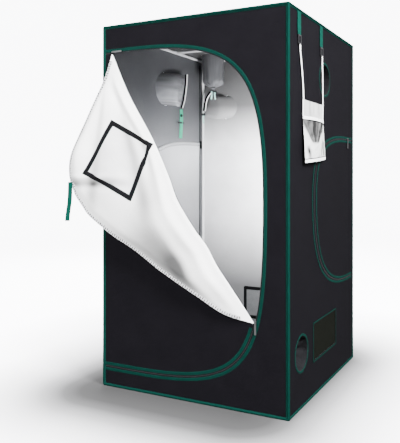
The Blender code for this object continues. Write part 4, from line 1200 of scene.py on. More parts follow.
flap = {
    "edge": [  # how far the flap reaches at each run down the fold
        (0.0, 0.0), (0.094, 0.1), (0.168, 0.212), (0.254, 0.339), (0.319, 0.43), (0.368, 0.472), (0.427, 0.499),
        (0.493, 0.509), (0.523, 0.512), (0.586, 0.503), (0.647, 0.493), (0.739, 0.454), (0.817, 0.415),
        (0.906, 0.365), (1.066, 0.286), (1.244, 0.186), (1.379, 0.107), (1.481, 0.004)],
    "foldLine": [  # how far the fold itself bows in under the flap
        (0.0, 0.0), (0.12, 0.012), (0.268, 0.022), (0.502, 0.019), (0.694, 0.034), (0.82, 0.052), (0.98, 0.043),
        (1.08, 0.028), (1.18, 0.028), (1.30, 0.016), (1.481, 0.0)],
    "cell": 0.0085, "under": 0.022, "turn": 0.012, "rise": -0.009, "endTaper": 0.2, "plane": -0.0006,
    "cloth": 0.0012, "slope": 0.1908, "facing": 0.9816,
    "down": 0.8507, "outDown": 0.516,  # how far a place comes down in the tent, by its run and by its reach out
    "headHeight": 1.663, "width": 0.55, "hinge": Vector((-0.445, -0.4991, 1.663)), "seam": (-0.0006, -0.0070),
    "zipWidth": 0.0145, "zipLift": 0.0009, "pipingInset": 0.0175, "pipingLift": -0.0010, "stitchInset": 0.0185,
    "teeth": {"inset": 0.0075, "lift": 0.0016, "pitch": 0.0122, "size": (0.0052, 0.0150, 0.0030), "zigzag": 0.0016},
}
window = {
    "width": 0.295, "height": 0.28, "place": Vector((0.0, 1.355)), "tape": 0.024, "hem": 0.014, "lift": 0.0013,
    "coverLift": 0.0011, "overlap": 0.0009, "stitchInset": 0.003, "stitchLift": 0.0012,
    "slip": {  # the cloth round the window hangs a little askew
        (-1, 1): (0.0, -0.0065), (-1, -1): (-0.0130, 0.0090), (1, -1): (0.0115, -0.0065), (1, 1): (-0.0045, 0.0075)},
}


def softened(table):  # A table of steps read as a smooth curve
    runs = np.linspace(table[0][0], table[-1][0], 297)
    line = smoothPath([Vector((a, b, 0)) for a, b in table], 12)
    values = np.interp(runs, [p.x for p in line], [p.y for p in line])
    return lambda run: float(np.interp(run, runs, values))


flapEdge, foldBow = softened(flap["edge"]), softened(flap["foldLine"])


def foldBand(run):  # How broad the bright roll beside the fold is
    return 0.055 + 0.050 * hump(run, 0.50, 0.85) * (1 - 0.7 * hump(run, 1.12, 1.45))


def flapHeight(run, out):  # How high in the tent a place on the flap is
    return -flap["down"] * run - flap["outDown"] * out + flap["headHeight"]


def doorRise(out):  # How far the door's own plane stands from the flap's, this far out from the fold
    return (flap["plane"] + flap["slope"] * out) / flap["facing"]


def flapRelief(run, out, across):
    # How far the flap's cloth stands from its flat, towards the wall where more than 0. Across runs from the fold
    length = fold["length"]
    taper = hump(min(run, length - run), 0.0, flap["endTaper"])
    reach = flapEdge(run)
    edge = reach - out
    rise = flap["rise"] * taper
    size = min(1.0, reach / 0.25)
    band = foldBand(run)
    rise -= size * 0.0085 * bell(across - 0.55 * band, 0.24 * band) * taper
    rise += size * 0.0050 * bell(across - 1.16 * band, 0.32 * band) * taper
    angle = math.atan2(out, run + 0.02)
    far = math.hypot(out, run)
    spread = hump(far, 0.08, 0.5) * hump(edge, 0.0, 0.12) * hump(across, 0.03, 0.12)
    rise += spread * 0.0052 * math.cos(angle * 17 + 0.6) * (1 - 0.6 * hump(far, 0.75, 1.1))
    rise += 0.012 * (1 - hump(edge, 0.0, 0.055)) * hump(reach, 0.06, 0.3)  # the outer edge curls back
    high = flapHeight(run, out)
    crease = hump(out, 0.18, 0.34) * hump(edge, 0.0, 0.03)
    rise -= crease * 0.0075 * bell(high - 1.045, 0.016)
    rise += crease * 0.0060 * bell(high - 1.008, 0.020)
    lower = hump(run, 0.72, 0.9) * (1 - hump(run, 1.25, 1.45))
    rise += lower * 0.0055 * math.sin((run - 0.72) * 21 + out * 9) * hump(across, 0.02, 0.1)
    rise += 0.0018 * wobble(run * 6, out * 9, 4.0) * taper
    return rise


def foldSize(run, bow):  # The radius of the fold's own bend
    return max(0.0009, (doorRise(bow) - flapRelief(run, bow, 0.0)) / 2)


def flapSection(run, s):
    # A place on the folded cloth: s is 0 at the fold, less on the wall's side and more on the flap's side
    bow, turn = foldBow(run), flap["turn"]
    far, near, size = doorRise(bow), flapRelief(run, bow, 0.0), foldSize(run, bow)
    if s < -turn:
        out = bow + size - s - turn
        return out, doorRise(out)
    if s < turn:
        angle = math.pi * (s + turn) / (2 * turn)
        return bow + size - size * math.sin(angle), (far + near) / 2 + size * math.cos(angle)
    out = bow + size + s - turn
    return out, flapRelief(run, out, s - turn)


def sectionOf(run, out):  # The s of a place on the flap
    bow = foldBow(run)
    return out - bow - foldSize(run, bow) + flap["turn"]


def flapPoint(run, s, lift=0.0):  # The place in the tent, raised off the bright side by this much
    out, rise = flapSection(run, s)
    step = 0.002
    outTwo, riseTwo = flapSection(run, s + step)
    outThree, riseThree = flapSection(min(run + step, fold["length"]), s)
    across = Vector((0, outTwo - out, riseTwo - rise))
    along = Vector((step, outThree - out, riseThree - rise))
    bright = across.cross(along)
    bright = bright.normalized() if bright.length > 1e-12 else Vector((0, 0, -1))
    return fold["hung"] @ (Vector((run, out, rise)) + bright * lift), (fold["hung"].to_3x3() @ bright).normalized()


def flapLine(path, lift):  # The places along a path given in run and s, and the way out at each
    found = [flapPoint(p[0], p[1], lift) for p in path]
    return [f[0] for f in found], [f[1] for f in found]


def windowCorner(a, b, shrink):  # A corner of the window in the flap's own run and s
    width, height = window["width"] / 2 - shrink, window["height"] / 2 - shrink
    run, out = inFold(window["place"] + Vector((a * width, b * height)))
    slip = window["slip"][(a, b)]
    run, out = run + slip[0], out + slip[1]
    return Vector((run, sectionOf(run, out)))


def windowRing(shrink):
    return [windowCorner(a, b, shrink) for a, b in ((-1, -1), (1, -1), (1, 1), (-1, 1))]


def flapLoop():
    length = fold["length"]
    runs = [length * (0.004 + 0.992 * i / 150) for i in range(151)]
    outer = [Vector((run, max(flap["turn"] * 0.2, sectionOf(run, flapEdge(run))))) for run in runs]
    inner = [Vector((run, -flap["turn"] - flap["under"] * hump(min(run, length - run), 0.0, 0.12))) for run in runs]
    return outer + inner[::-1]


def flapPaintedShade(run, s):  # How much painted shade the flap's film gets, from 0 to 1: in its creases and folds, in a grey zone beyond the bright roll beside the fold, and along its upper outer edge, none on the roll itself
    across = max(0.0, s - flap["turn"])
    out = foldBow(run) + across
    edge = flapEdge(run) - out
    high = flapHeight(run, out)
    low = hump(run, 0.55, 0.95) * (1 - hump(run, 1.38, 1.47))
    band = foldBand(run)
    mark = 0.16 * bell(across - 1.6 * band, 0.055) * low
    mark += 0.62 * hump(run, 0.62, 1.05) * hump(across, band, 1.3 * band + 0.02) * (0.75 + 0.25 * hump(edge, 0.0, 0.07))
    mark += 0.42 * bell(edge, 0.045) * (1 - hump(run, 0.45, 0.60)) * hump(run, 0.05, 0.12)
    angle, far = math.atan2(out, run + 0.02), math.hypot(out, run)
    fan = hump(far, 0.10, 0.3) * (1 - hump(far, 0.72, 0.9)) * hump(across, 0.03, 0.10) * hump(edge, 0.02, 0.08)
    mark += 0.36 * fan * max(0.0, math.cos(angle * 17 + 2.0)) ** 3
    mark += 0.42 * hump(out, 0.2, 0.34) * bell(high - 1.015, 0.018)
    mark += 0.16 * hump(out, 0.2, 0.34) * (1 - hump(high, 0.90, 1.015))
    mark += 0.18 * hump(run, 0.25, 0.5) + 0.16 * wobble(run * 5, out * 7, 9.0)
    return clamped(mark * hump(across, 0.4 * band, band))


def flapSheet(name, flat, faces, lifts, thickness, look, smooth):
    # A sheet on the flap, raised by this much at each point: the look on its bright side, dark cloth behind
    facing = [f if facesBright(flat, f) else f[::-1] for f in faces]
    rim = sorted(rimOf(facing))
    verts = [flapPoint(run, s, lift + side * thickness / 2)[0]
             for side in (1, -1) for (run, s), lift in zip(flat, lifts)]
    slots = [0] * len(facing) + [1] * (len(facing) + len(rim))
    # Painted shade at each point, kept in a map of its own
    marks = [(flapPaintedShade(run, s), 0.0) for run, s in flat] * 2
    return newPiece(name, verts, bothSides(facing, rim, len(flat)), [looks[look], looks["outer"]],
                    {"weave": np.vstack([flat, flat]), "folds": marks}, slots, smooth)


def makeFlap():
    ring = windowRing(window["tape"] + window["hem"])
    loops = [flapLoop(), ring[2:] + ring[:2]]
    flat, faces = triangulated(loops, flap["cell"])
    used, faces = usedBy(faces)
    piece = flapSheet("frontDoorFlap", flat[used], faces, [0.0] * len(used), flap["cloth"], "flapFilm", 70)
    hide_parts("front_door_flap")
    area = loopArea(loops[0]) - loopArea(loops[1])
    cut["frontDoorFlap"] = (flap["width"], fold["length"], area)
    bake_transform(piece)


def facesBright(flat, face):
    a, b, c = (flat[i] for i in face)
    return (b[0] - a[0]) * (c[1] - a[1]) - (c[0] - a[0]) * (b[1] - a[1]) < 0


def flapTape(name, path, width, look, lift, crown=0.0003, thickness=0.0004, steps=5):
    # A tape on the flap's bright side, along points given in run and s
    return strip(name, *flapLine(path, lift), width, crown, looks[look], thickness=thickness, steps=steps)


def flapEdgePath(inset):  # Along the flap's free edge, this far in from it
    length = fold["length"]
    loop = [Vector((run, sectionOf(run, flapEdge(run)))) for run in np.linspace(0.03, length - 0.05, 170)]
    moved = []
    for place, here in enumerate(loop):
        along = heading(loop, place)
        moved.append(here + Vector((along.y, -along.x)) * inset)
    return [p for p in moved if p.y > flap["turn"]]


def makeFlapEdges():
    # The zip half, its teeth and the stitches on the flap's free edge, and the piping on its dark side
    width, teeth = flap["zipWidth"], flap["teeth"]
    tape = flapTape("flapZipTape", flapEdgePath(width / 2), width, "silverTape", flap["zipLift"])
    settle(tape, "front_flap")
    line = flapLine(flapEdgePath(teeth["inset"]), teeth["lift"])
    settle(bars("flapZipTeeth", [line], teeth["pitch"], teeth["size"], looks["blackTape"], zigzag=teeth["zigzag"]),
           "front_flap")
    stitched("flapStitches", [flapLine(flapEdgePath(flap["stitchInset"]), 0.0008)], "front_flap", "whiteThread")
    points, outs = flapLine(flapEdgePath(flap["pipingInset"]), flap["pipingLift"])
    piping = strip("flapPiping", points, [-out for out in outs], frontDoor["pipingWidth"], trim["crown"],
                   looks["piping"], thickness=trim["cloth"], steps=7)
    settle(piping, "front_flap")


def makeWindow():  # The window's tape frame with its overlapping ends, and the cover inside it
    tapes = []
    for place, (a, b) in enumerate(sidesOf(windowRing(window["tape"] / 2))):
        reach = (b - a).normalized() * window["tape"] / 2
        line = evenly([a - reach, b + reach], 0.008, closed=False)
        lift = window["lift"] + window["overlap"] * (place % 2)
        tapes.append(flapTape("windowTape", line, window["tape"], "blackTape", lift, 0.0004, 0.0006, 7))
    settle(joined("windowTape", tapes), "front_flap", ("front_window_tape",))
    rings = [windowRing(inset) for inset in (window["stitchInset"], window["tape"] - window["stitchInset"])]
    rims = [flapLine(evenly(ring + ring[:1], 0.01, closed=False), window["lift"] + window["stitchLift"])
            for ring in rings]
    stitched("windowStitches", rims, "front_flap", spacing=0.005)
    ring = windowRing(window["tape"] + 0.0003)
    flat, faces = triangulated([ring], 0.010)
    calm = hump(edgeDistance([ring], flat[:, 0], flat[:, 1]), 0.004, 0.06)
    swell = window["coverLift"] + abs(calm * 0.003 * ripple(flat[:, 0], flat[:, 1], 9.0, 7.0))
    cover = flapSheet("windowCover", flat, faces, swell, 0.001, "cover", 60)
    settle(cover, "window_cover", ("front_window_cover",))
    width, height = window["width"] - 2 * window["tape"], window["height"] - 2 * window["tape"]
    cut["windowCover"] = (width, height, width * height)


def makeLowerDoor():  # The part of the front door below the fold, cut along the fold's own bow
    margin = fold["margin"]
    kept = clippedBelowFold(doorLoop(frontPath(), -doorGap), margin)
    ends = [i for i, p in enumerate(kept) if abs(inFold(p).y + margin) < 1e-5]
    first, last = ends[0], ends[-1]
    runs = np.linspace(inFold(kept[first]).x, inFold(kept[last]).x, 60)[1:-1]
    bowed = [fold["top"] + fold["along"] * float(run) - fold["across"] * (foldBow(run) + margin) for run in runs]
    kept = kept[:last] + bowed + kept[last:] if last - first == 1 else kept + bowed[::-1]
    wallPiece("frontDoorLower", "front", [kept], "front_door_lower", seed=8.5, sag=0.003)


tieStrap = {
    "top": Vector((-0.6237, -0.6036, 1.000)), "down": Vector((0.0164, -0.099, -0.995)),
    "across": Vector((0.9866, 0.1631, 0)), "facing": Vector((-0.1623, 0.9816, -0.1003)),
    "width": 0.025, "length": 0.172, "hidden": 0.022, "sway": 0.004, "hem": 0.012,
}


def makeTieStrap():  # A webbing strap sewn behind the flap's edge, hanging down
    t = tieStrap
    line = []
    for share in (step / 30 for step in range(31)):
        run = -t["hidden"] + share * (t["length"] + t["hidden"])
        sway = t["sway"] * math.sin(share * 5.2) * share
        line.append(t["top"] + t["down"] * run + t["facing"] * sway * 0.6 + t["across"] * sway)
    strap = strip("doorTieStrap", line, -t["facing"], t["width"], 0.0004, looks["webbing"], thickness=0.0009)
    settle(strap, "front_flap", ("door_tie_strap",))
    hem = [t["top"] + t["down"] * (t["length"] - t["hem"]) + t["across"] * 0.004
           + t["across"] * side * 0.010 - t["facing"] * 0.0006 for side in (-1, 0, 1)]
    stitched("strapStitches", [(hem, -t["facing"])], "front_flap", spacing=0.003)


# Duct ports: a green ring on the wall, and a gathered sleeve inside

sleeve = {"ring": 0.010, "stitchInset": 0.0014, "gathers": 8, "gather": 0.07, "sides": 64, "steps": 7,
          "cloth": 0.0008, "gap": 0.0006, "mouth": 0.0008, "through": 0.0039, "cinch": 0.010}


def straightStages(radius, length, shares):
    return [((0, 0, -depth * length), (size * radius, 0, 0), (0, size * radius, 0), gathered * sleeve["gather"])
            for depth, size, gathered in shares]


def cinchedStages(neck, end):
    return [((0, 0, -depth), (size, 0, 0), (0, size, 0), gathered * sleeve["gather"])
            for depth, size, gathered in ((neck, sleeve["cinch"], 1), (end, 2 * sleeve["cinch"], 3))]


def bentStages(radius, reach, rise, lean, away):
    slant, way, mouth = radius * 0.48, 1 if reach > 0 else -1, 0.005
    return [
        ((reach * 0.4, 0, -away), (slant, 0, way * away * 0.6), (0, radius, 0), 0.02),
        ((reach * 0.7, rise / 2, -away), (0, 0, way * away * 0.4), (lean / 2, radius, 0), sleeve["gather"]),
        ((reach, rise, -away), (0, 0, way * mouth), (lean, radius, 0), 0.05),
    ]


portLooks = {  # hole, wall, look of the sleeve, slot, stages, ripple, seed
    "right_upper_port": ("rightUpper", "right", "darkSleeve", "dark_sleeve", straightStages(
        0.076, 0.105, ((0.5, 0.97, 0.2), (0.8, 0.84, 1.0), (1.0, 0.80, 1.0))), 0.05, 2.0),
    "right_lower_port": ("rightLower", "right", "darkSleeve", "dark_sleeve", straightStages(
        0.078, 0.105, ((0.25, 0.88, 1.0), (0.5, 0.5, 2.0))) + cinchedStages(0.0735, 0.105), 0.10, 5.0),
    "left_upper_port": ("leftUpper", "left", "sleeveFilmPaintedShade", "inner_cloth",
                        bentStages(0.095, -0.126, 0, -0.033, 0.045), 0.03, 7.0),
    "back_port": ("back", "back", "film", "inner_cloth", bentStages(0.075, 0.115, 0.020, -0.022, 0.032),
                  0.03, 9.0),
    "roof_port": ("roof", "roof", "sleeveFilmPaintedShade", "inner_cloth", straightStages(
        0.070, 0.175, ((0.25, 1.0, 0.15), (0.7, 0.97, 0.4), (1.0, 0.92, 0.8))) + cinchedStages(0.20475, 0.22475),
        0.03, 11.0),
}


def sleeveRings(radius, stages, waves, seed):
    # Rings of points down a sleeve, smoothly between its stages, gathered and creased
    flat = [((0, 0, -depth), (radius, 0, 0), (0, radius, 0), 0.0) for depth in (sleeve["mouth"], sleeve["through"])]
    flat += stages
    lines = [smoothPath([Vector(stage[part]) for stage in flat], sleeve["steps"]) for part in range(3)]
    swells = [p.x for p in smoothPath([Vector((stage[3], 0, 0)) for stage in flat], sleeve["steps"])]
    rings = []
    for place, (centre, across, upward) in enumerate(zip(*lines)):
        share = place / (len(lines[0]) - 1)
        ring = []
        for step in range(sleeve["sides"]):
            turn = math.tau * step / sleeve["sides"]
            crease = wobble(math.cos(turn) * 2.4, math.sin(turn) * 2.4, seed + share * 2.2)
            drag = wobble(math.cos(turn) * 5.5, math.sin(turn) * 5.5, seed + 3 + share * 1.1)
            size = 1 + swells[place] * (math.cos(sleeve["gathers"] * turn) - 0.6)
            size += hump(share, 0.02, 0.35) * waves * (crease * 0.7 + drag * 0.5 - 0.5)
            ring.append(centre + (across * math.cos(turn) + upward * math.sin(turn)) * size)
        rings.append(ring)
    return rings


def sleevePaintedShade(turn, share, seed):  # How much painted shade a place on a sleeve gets in its creases, from 0 to 1
    crease = wobble(math.cos(turn) * 3.4, math.sin(turn) * 3.4, seed + share * 2.8)
    fine = wobble(math.cos(turn) * 8, math.sin(turn) * 8, seed + 5 + share * 3.5)
    return clamped(0.15 + 0.9 * abs(crease) * hump(share, 0.05, 0.3) + 0.5 * fine * hump(share, 0.3, 0.8))


def makePorts():
    for node, (hole, wall, look, slot, stages, waves, seed) in portLooks.items():
        radius, x, y = holes[hole]
        place = onWall(wall, 0.0005) @ Matrix.Translation((x, y, 0))
        rings = sleeveRings(radius - sleeve["gap"], stages, waves, seed)
        sides = sleeve["sides"]
        verts = [place @ p for ring in rings for p in ring]
        faces = tubeFaces(len(rings), sides, capped=False)
        run, layer, marks = 0.0, [], []
        for i, ring in enumerate(rings):
            run += (ring[0] - rings[i - 1][0]).length if i else 0
            layer += [(math.tau * s / sides * radius, run) for s in range(sides)]
            share = i / (len(rings) - 1)
            # Painted shade in the sleeve's creases, kept in a map of its own
            marks += [(sleevePaintedShade(math.tau * s / sides, share, seed), 0.0) for s in range(sides)]
        port = node.split("_")[0] + "".join(part.title() for part in node.split("_")[1:])
        name = port + "Sleeve"
        piece = newPiece(name, verts, faces, [looks["darkSleeve"], looks[look]], {"weave": layer, "folds": marks},
                         smooth=80)
        thicken(piece, sleeve["cloth"], behind=1)
        outwards(piece)
        settle(piece, "tent", (node,))
        whole = math.tau * radius * run
        area = min(whole, sum(face.area for face in piece.data.polygons) / 2)  # its panels taper to the tie
        cut[name] = (math.tau * radius, run, area)
        ring = circle(radius + sleeve["ring"] / 2, x, y, 72)
        points, out = lineOn(wall, ring, trim["depth"])
        flange = strip(port + "Ring", points, out, sleeve["ring"], 0.0009, looks["piping"], thickness=0.0005,
                       steps=7, close=True)
        settle(flange, "tent")
        rounds = [circle(radius + inset, x, y, 72)
                  for inset in (sleeve["stitchInset"], sleeve["ring"] - sleeve["stitchInset"])]
        lines = [lineOn(wall, ring + ring[:1], trim["depth"] - 0.0003) for ring in rounds]
        stitched(port + "Stitches", lines, "tent")


# Pouch on the right wall

rightward = Vector((1, 0, 0))  # out of the right wall, and in from the left one
pouch = {
    "left": -0.335, "right": -0.047, "top": 1.405, "foot": 1.117, "footRise": 0.022, "band": 0.080, "bandFall": 0.004,
    "lean": 0.012, "head": 1.6421, "front": -0.374, "rear": -0.066, "strap": 0.013, "cloth": 0.0010, "depth": 0.026,
    "plane": -0.0012, "hem": 0.014, "line": 0.004, "ribbon": 0.0005,
    "veins": (  # middle and lean, as shares of its width, breadth and depth of each fold
        (0.16, 0.10, 0.030, 0.0052), (0.34, -0.12, 0.026, 0.0040), (0.52, 0.16, 0.034, 0.0056),
        (0.72, -0.18, 0.028, 0.0046), (0.87, -0.05, 0.024, 0.0040)),
}


def pouchAcross(a):  # From a share of the pouch's width to a place along the wall
    return pouch["left"] + (pouch["right"] - pouch["left"]) * a


def pouchFoot(a):
    return pouch["foot"] + pouch["footRise"] * a


def pouchTop(_):
    return pouch["top"]


def pocketRim(a):
    return pouch["top"] - pouch["band"] - pouch["bandFall"] * a


def pouchPlace(y, z, away):  # The pouch leans out from the wall towards its foot
    lean = pouch["lean"] * hump(pouch["top"] - z, 0.04, pouch["top"] - pouch["foot"])
    return onWall("right", pouch["plane"] - away - lean) @ Vector((y, z, 0))


def pouchSheet(name, low, high, away, look, mark, cells):
    # A film sheet between the pouch's straps. Low, high and away give heights and stand-off by share across, and mark
    # gives its painted shade
    columns, rows = cells
    verts, layer, marks = [], [], []
    for j in range(rows + 1):
        for i in range(columns + 1):
            a, b = i / columns, j / rows
            y = pouchAcross(a)
            z = low(a) + (high(a) - low(a)) * b
            verts.append(pouchPlace(y, z, away(a, b)))
            layer.append((y, z))
            marks.append((clamped(mark(a, b)), 0.0))
    piece = newPiece(name, verts, gridFaces(columns, rows), [looks[look]], {"weave": layer, "folds": marks},
                     smooth=70)
    thicken(piece, pouch["cloth"] * 0.8)
    outwards(piece)
    width, height = pouch["right"] - pouch["left"], high(0.5) - low(0.5)
    cut[name] = (width, height, width * height)
    return piece


def backAway(a, b):  # How far the pouch's back stands off: only above the pocket, a little puckered
    band = hump(b, 0.72, 0.8) * hump(1 - b, 0.0, 0.05)
    return 0.0004 + 0.0022 * band * (0.5 + 0.5 * math.sin(a * 31)) * math.sin(math.pi * a)


def backPaintedShade(a, b):  # How much painted shade the back's film gets: in its creases above the pocket, and darker towards its left end
    folds = 0.5 * max(0.0, math.cos(a * 14 + 1.9 * b)) ** 4 * hump(b, 0.70, 0.80)
    return folds + 0.45 * (1 - hump(a, 0.0, 0.16)) + 0.2 * wobble(a * 7, b * 6, 6.0)


def pocketAway(a, b):  # How far the pocket stands off: bowed, fuller at the top, drawn into folds below its hem
    bow = pouch["depth"] * (0.45 + 0.55 * b) * math.sin(math.pi * a) ** 0.8
    ends = hump(a, 0.0, 0.12) * hump(1 - a, 0.0, 0.12)
    top = hump(b, 0.3, 0.85) * hump(1 - b, 0.0, 0.12) * 0.8 + 0.2 * hump(b, 0.3, 0.9)
    veins = sum(depth * bell(a - middle - lean * (1 - b), breadth)
                for middle, lean, breadth, depth in pouch["veins"])
    bulge = 0.003 * bell(b - 0.30, 0.18) * math.sin(math.pi * a)
    crinkle = 0.0012 * wobble(a * 9, b * 7, 3.3)
    return max(0.0006, bow - ends * top * veins + ends * (bulge + crinkle))


def pocketPaintedShade(a, b):  # How much painted shade the pocket's film gets in its folds, standing in for their shade and dark reflections: a fan of folds that meet in a point, low down
    point = (0.36, 0.36)
    rise = b - point[1]
    side = (a - point[0]) / max(0.08, rise + 0.10)
    cone = hump(rise, -0.02, 0.08) * (1 - hump(abs(side - 0.12), 0.66, 0.92))
    fan = 0.96 + 0.06 * math.cos(side * 9.0) + 0.05 * math.cos(side * 21.0 + 1.2)
    mark = cone * fan * hump(rise, -0.01, 0.09)
    mark += 1.1 * bell(a - 0.13 - 0.25 * (0.22 - b), 0.06) * bell(b - 0.20, 0.13)
    mark += 1.0 * bell(a - 0.66 - 0.10 * b, 0.034) * hump(b, 0.06, 0.12) * (1 - hump(b, 0.45, 0.60))
    mark += 0.95 * bell(a - 0.86 + 0.12 * b, 0.045) * (1 - hump(b, 0.38, 0.55)) * hump(b, 0.05, 0.12)
    return mark + 0.34 * (1 - 0.8 * cone) * wobble(a * 8, b * 9, 2.0)


def pouchRibbon(name, height, b, lift, width, look):
    # A tape across the pouch, lying on the pocket at this share of its height, or on the back where None
    line = [pouchPlace(pouchAcross(a), height(a), (0.0012 if b is None else pocketAway(a, b)) + lift)
            for a in pouchShares]
    return strip(name, line, rightward, width, pouch["ribbon"], looks[look], thickness=0.0005)


pouchShares = [i / 60 for i in range(61)]


def makePouch():
    back = pouchSheet("pouchBack", pouchFoot, pouchTop, backAway, "pouchVeil", backPaintedShade, (46, 26))
    settle(back, "organizer", ("organizer_pouch",))
    pocket = pouchSheet("pouchPocket", pouchFoot, pocketRim, pocketAway, "pouchFilm", pocketPaintedShade, (84, 44))
    settle(pocket, "organizer")
    bits = [pouchRibbon("hem", lambda a: pocketRim(a) - 0.006, 0.97, 0.0012, pouch["hem"], "whiteHem"),
            pouchRibbon("hem", lambda a: pouchFoot(a) + 0.001, 0.02, 0.0012, pouch["hem"], "whiteHem")]
    dark = [pouchRibbon("line", lambda a: pocketRim(a) - 0.0155, 0.92, 0.0010, pouch["line"], "blackTape"),
            pouchRibbon("line", lambda a: pouchFoot(a) + 0.0105, 0.05, 0.0010, pouch["line"], "blackTape"),
            pouchRibbon("line", lambda a: pouchTop(a) - 0.001, None, 0.0012, 0.005, "blackTape")]
    for head, low, a in ((pouch["front"], pouch["left"] + pouch["strap"] / 2, 0),
                         (pouch["rear"], pouch["right"] - pouch["strap"] / 2, 1)):
        points = [(head, pouch["head"] - 0.001), (head + (low - head) * 0.02, pouch["head"] - 0.03),
                  (low + (head - low) * 0.45, 1.52), (low, pouch["top"] + 0.01), (low, 1.32), (low, 1.2),
                  (low, pouchFoot(a) - 0.004)]
        line = smoothPath([pouchPlace(y, z, 0.0025 + 0.002 * math.sin(z * 9)) for y, z in points], 12)
        bits.append(strip("strap", line, rightward, pouch["strap"], 0.0007, looks["whiteHem"],
                          thickness=0.0007))
    settle(joined("pouchStraps", bits), "organizer")
    settle(joined("pouchLines", dark), "organizer")
    seam = [pouchPlace(pouchAcross(a), pocketRim(a) - 0.006, pocketAway(a, 0.97) + 0.0020) for a in pouchShares]
    stitched("pouchStitches", [(seam, rightward)], "organizer", "whiteThread")


hangStrap = {"top": 1.7882, "foot": 1.6847, "width": 0.043, "seams": (0.006, 0.024), "seamHalf": 0.017}


def makeHangStraps():  # The two webbing straps that the pouch's clips hang from
    top, foot = hangStrap["top"], hangStrap["foot"]
    for end, run in (("Front", pouch["front"]), ("Rear", pouch["rear"])):
        line = [onWall("right", -0.0006) @ Vector((run, top - 0.0004 + (foot + 0.0006 - top) * i / 24,
                                                  0.0002 * math.sin(i * 0.9))) for i in range(25)]
        piece = strip("hangStrap" + end, line, rightward, hangStrap["width"], 0.0006, looks["webbing"],
                      thickness=0.0006, steps=7)
        settle(piece, "tent", ("organizer_strap_" + end.lower(),))
        place = onWall("right", -0.0012)
        seams = [([place @ Vector((run + side * hangStrap["seamHalf"], foot + up, 0)) for side in (-1, 0, 1)],
                  rightward) for up in hangStrap["seams"]]
        stitched(piece.name + "Stitches", seams, "tent", spacing=0.0034)


# Inside: seams over the zips, drawcords and the straps of the sleeves

ties = {
    "mouthFace": Vector((0.46, -0.89, 0.0)),
    "leftMouth": [(-0.447, 0.208, 1.662), (-0.444, 0.200, 1.62), (-0.441, 0.185, 1.56), (-0.441, 0.168, 1.50),
                  (-0.443, 0.149, 1.452)],
    "leftBlack": 0.0095, "leftHem": (0.0070, 0.0078, 0.0014),  # width, how far beside the slit, crown
    "backMouth": [(-0.388, 0.437, 1.588), (-0.412, 0.436, 1.574), (-0.434, 0.435, 1.545), (-0.446, 0.434, 1.508),
                  (-0.453, 0.434, 1.462)],
    "backBlack": 0.0110, "backHem": (0.0055, 0.0105, 0.0012), "backLock": Vector((-0.452, 0.431, 1.440)),
    "knot": Vector((-0.300, 0.300, 1.576)),
    "knotParts": [((-0.008, -0.004, 0.010), (0.034, 0.006, 0.006)), ((-0.012, -0.010, -0.010), (0.013, 0.010, 0.013)),
                  ((0.012, -0.010, -0.018), (0.013, 0.010, 0.013))],
    "ends": [("knot", (-0.014, -0.012, -0.014), 0.048, 0.0), ("knot", (0.009, -0.012, -0.020), 0.044, 0.3),
             ("backLock", (0.0, 0.0, -0.006), 0.050, 0.2)],  # where each hangs from, its length and its phase
}


def makeSleeveTies():  # The tied sleeves' mouths: a dark slit beside a white hem, with locks and the ties' ends
    face = ties["mouthFace"]
    side = Vector((-face.y, face.x, 0))
    dark, pale = [], []
    for port, skipped in (("left", 0), ("back", 6)):  # the back sleeve's hem starts lower down
        line = smoothPath(ties[port + "Mouth"], 8)
        dark.append(strip("mouth", line, face, ties[port + "Black"], 0.0010, looks["blackTape"], thickness=0.0010))
        width, apart, crown = ties[port + "Hem"]
        beside = [p + side * apart + face * 0.0006 for p in line[skipped:]]
        pale.append(strip("hem", beside, face, width, crown, looks["whiteHem"]))
    locks = [block("lock", Matrix.Translation(ties["backLock"]), (0.020, 0.014, 0.016), looks["plastic"], 0.003)]
    for offset, size in ties["knotParts"]:
        locks.append(block("lock", Matrix.Translation(ties["knot"] + Vector(offset)), size, looks["plastic"], 0.002))
    for start, offset, length, phase in ties["ends"]:
        top = ties[start] + Vector(offset)
        drop = [top + Vector((0.0015 * math.sin(share * 5 + phase * 9), 0, -share * length))
                for share in np.linspace(0, 1, 9)]
        pale.append(strip("tieEnd", drop, face, 0.0085, 0.0004, looks["paleMint"], thickness=0.0006))
    settle(joined("sleeveMouths", dark), "tent")
    settle(joined("sleeveHems", pale), "tent")
    settle(joined("sleeveLocks", locks), "tent")


innerShape = {"depth": clothDepth + tent["cloth"] + 0.0006, "zip": 0.022, "crinkle": 0.0022, "rightZip": 0.020,
              "teethLift": 0.0050, "seamLift": 0.0022, "seamRun": -0.459, "patchRun": -0.4705}
portStrap = {
    "y": 0.203, "top": 1.452, "foot": 1.277, "away": 0.016, "width": 0.019, "lift": 0.001,
    "locks": (((-0.208, 1.414, -0.020), (0.018, 0.018, 0.012), 0.003),  # place, size and rounding: cord lock, buckle
              ((-0.198, 1.370, -0.021), (0.060, 0.010, 0.010), 0.002)),
}


def makeInnerZips():  # The inner sides of the side doors' zips, the left one crinkled and toothed
    inner = innerShape["depth"]
    arch = mirrored(finePath(sidePath()))
    points, out = lineOn("left", arch, inner)
    crinkle = strip("leftInnerZip", points, -out, innerShape["zip"], innerShape["crinkle"], looks["silverCoil"],
                    thickness=0.0004, steps=7)
    for vert in crinkle.data.vertices:
        vert.co.x += innerShape["crinkle"] * abs(noise.noise(vert.co * 60))
    settle(crinkle, "left_door")
    edges = [(lineOn("left", grown(arch, away), inner + innerShape["teethLift"])[0], -out) for away in (-0.009, 0.010)]
    teeth = bars("leftInnerZipTeeth", edges, 0.0160, (0.0090, 0.0050, 0.0020), looks["blackTape"], zigzag=0.0022)
    settle(teeth, "left_door")
    points, out = lineOn("right", [p for p in finePath(sidePath()) if p.x < sideDoor["clear"]], inner)
    settle(strip("rightInnerZip", points, -out, innerShape["rightZip"], 0.0012, looks["blackTape"],
                 thickness=0.0004), "right_door")


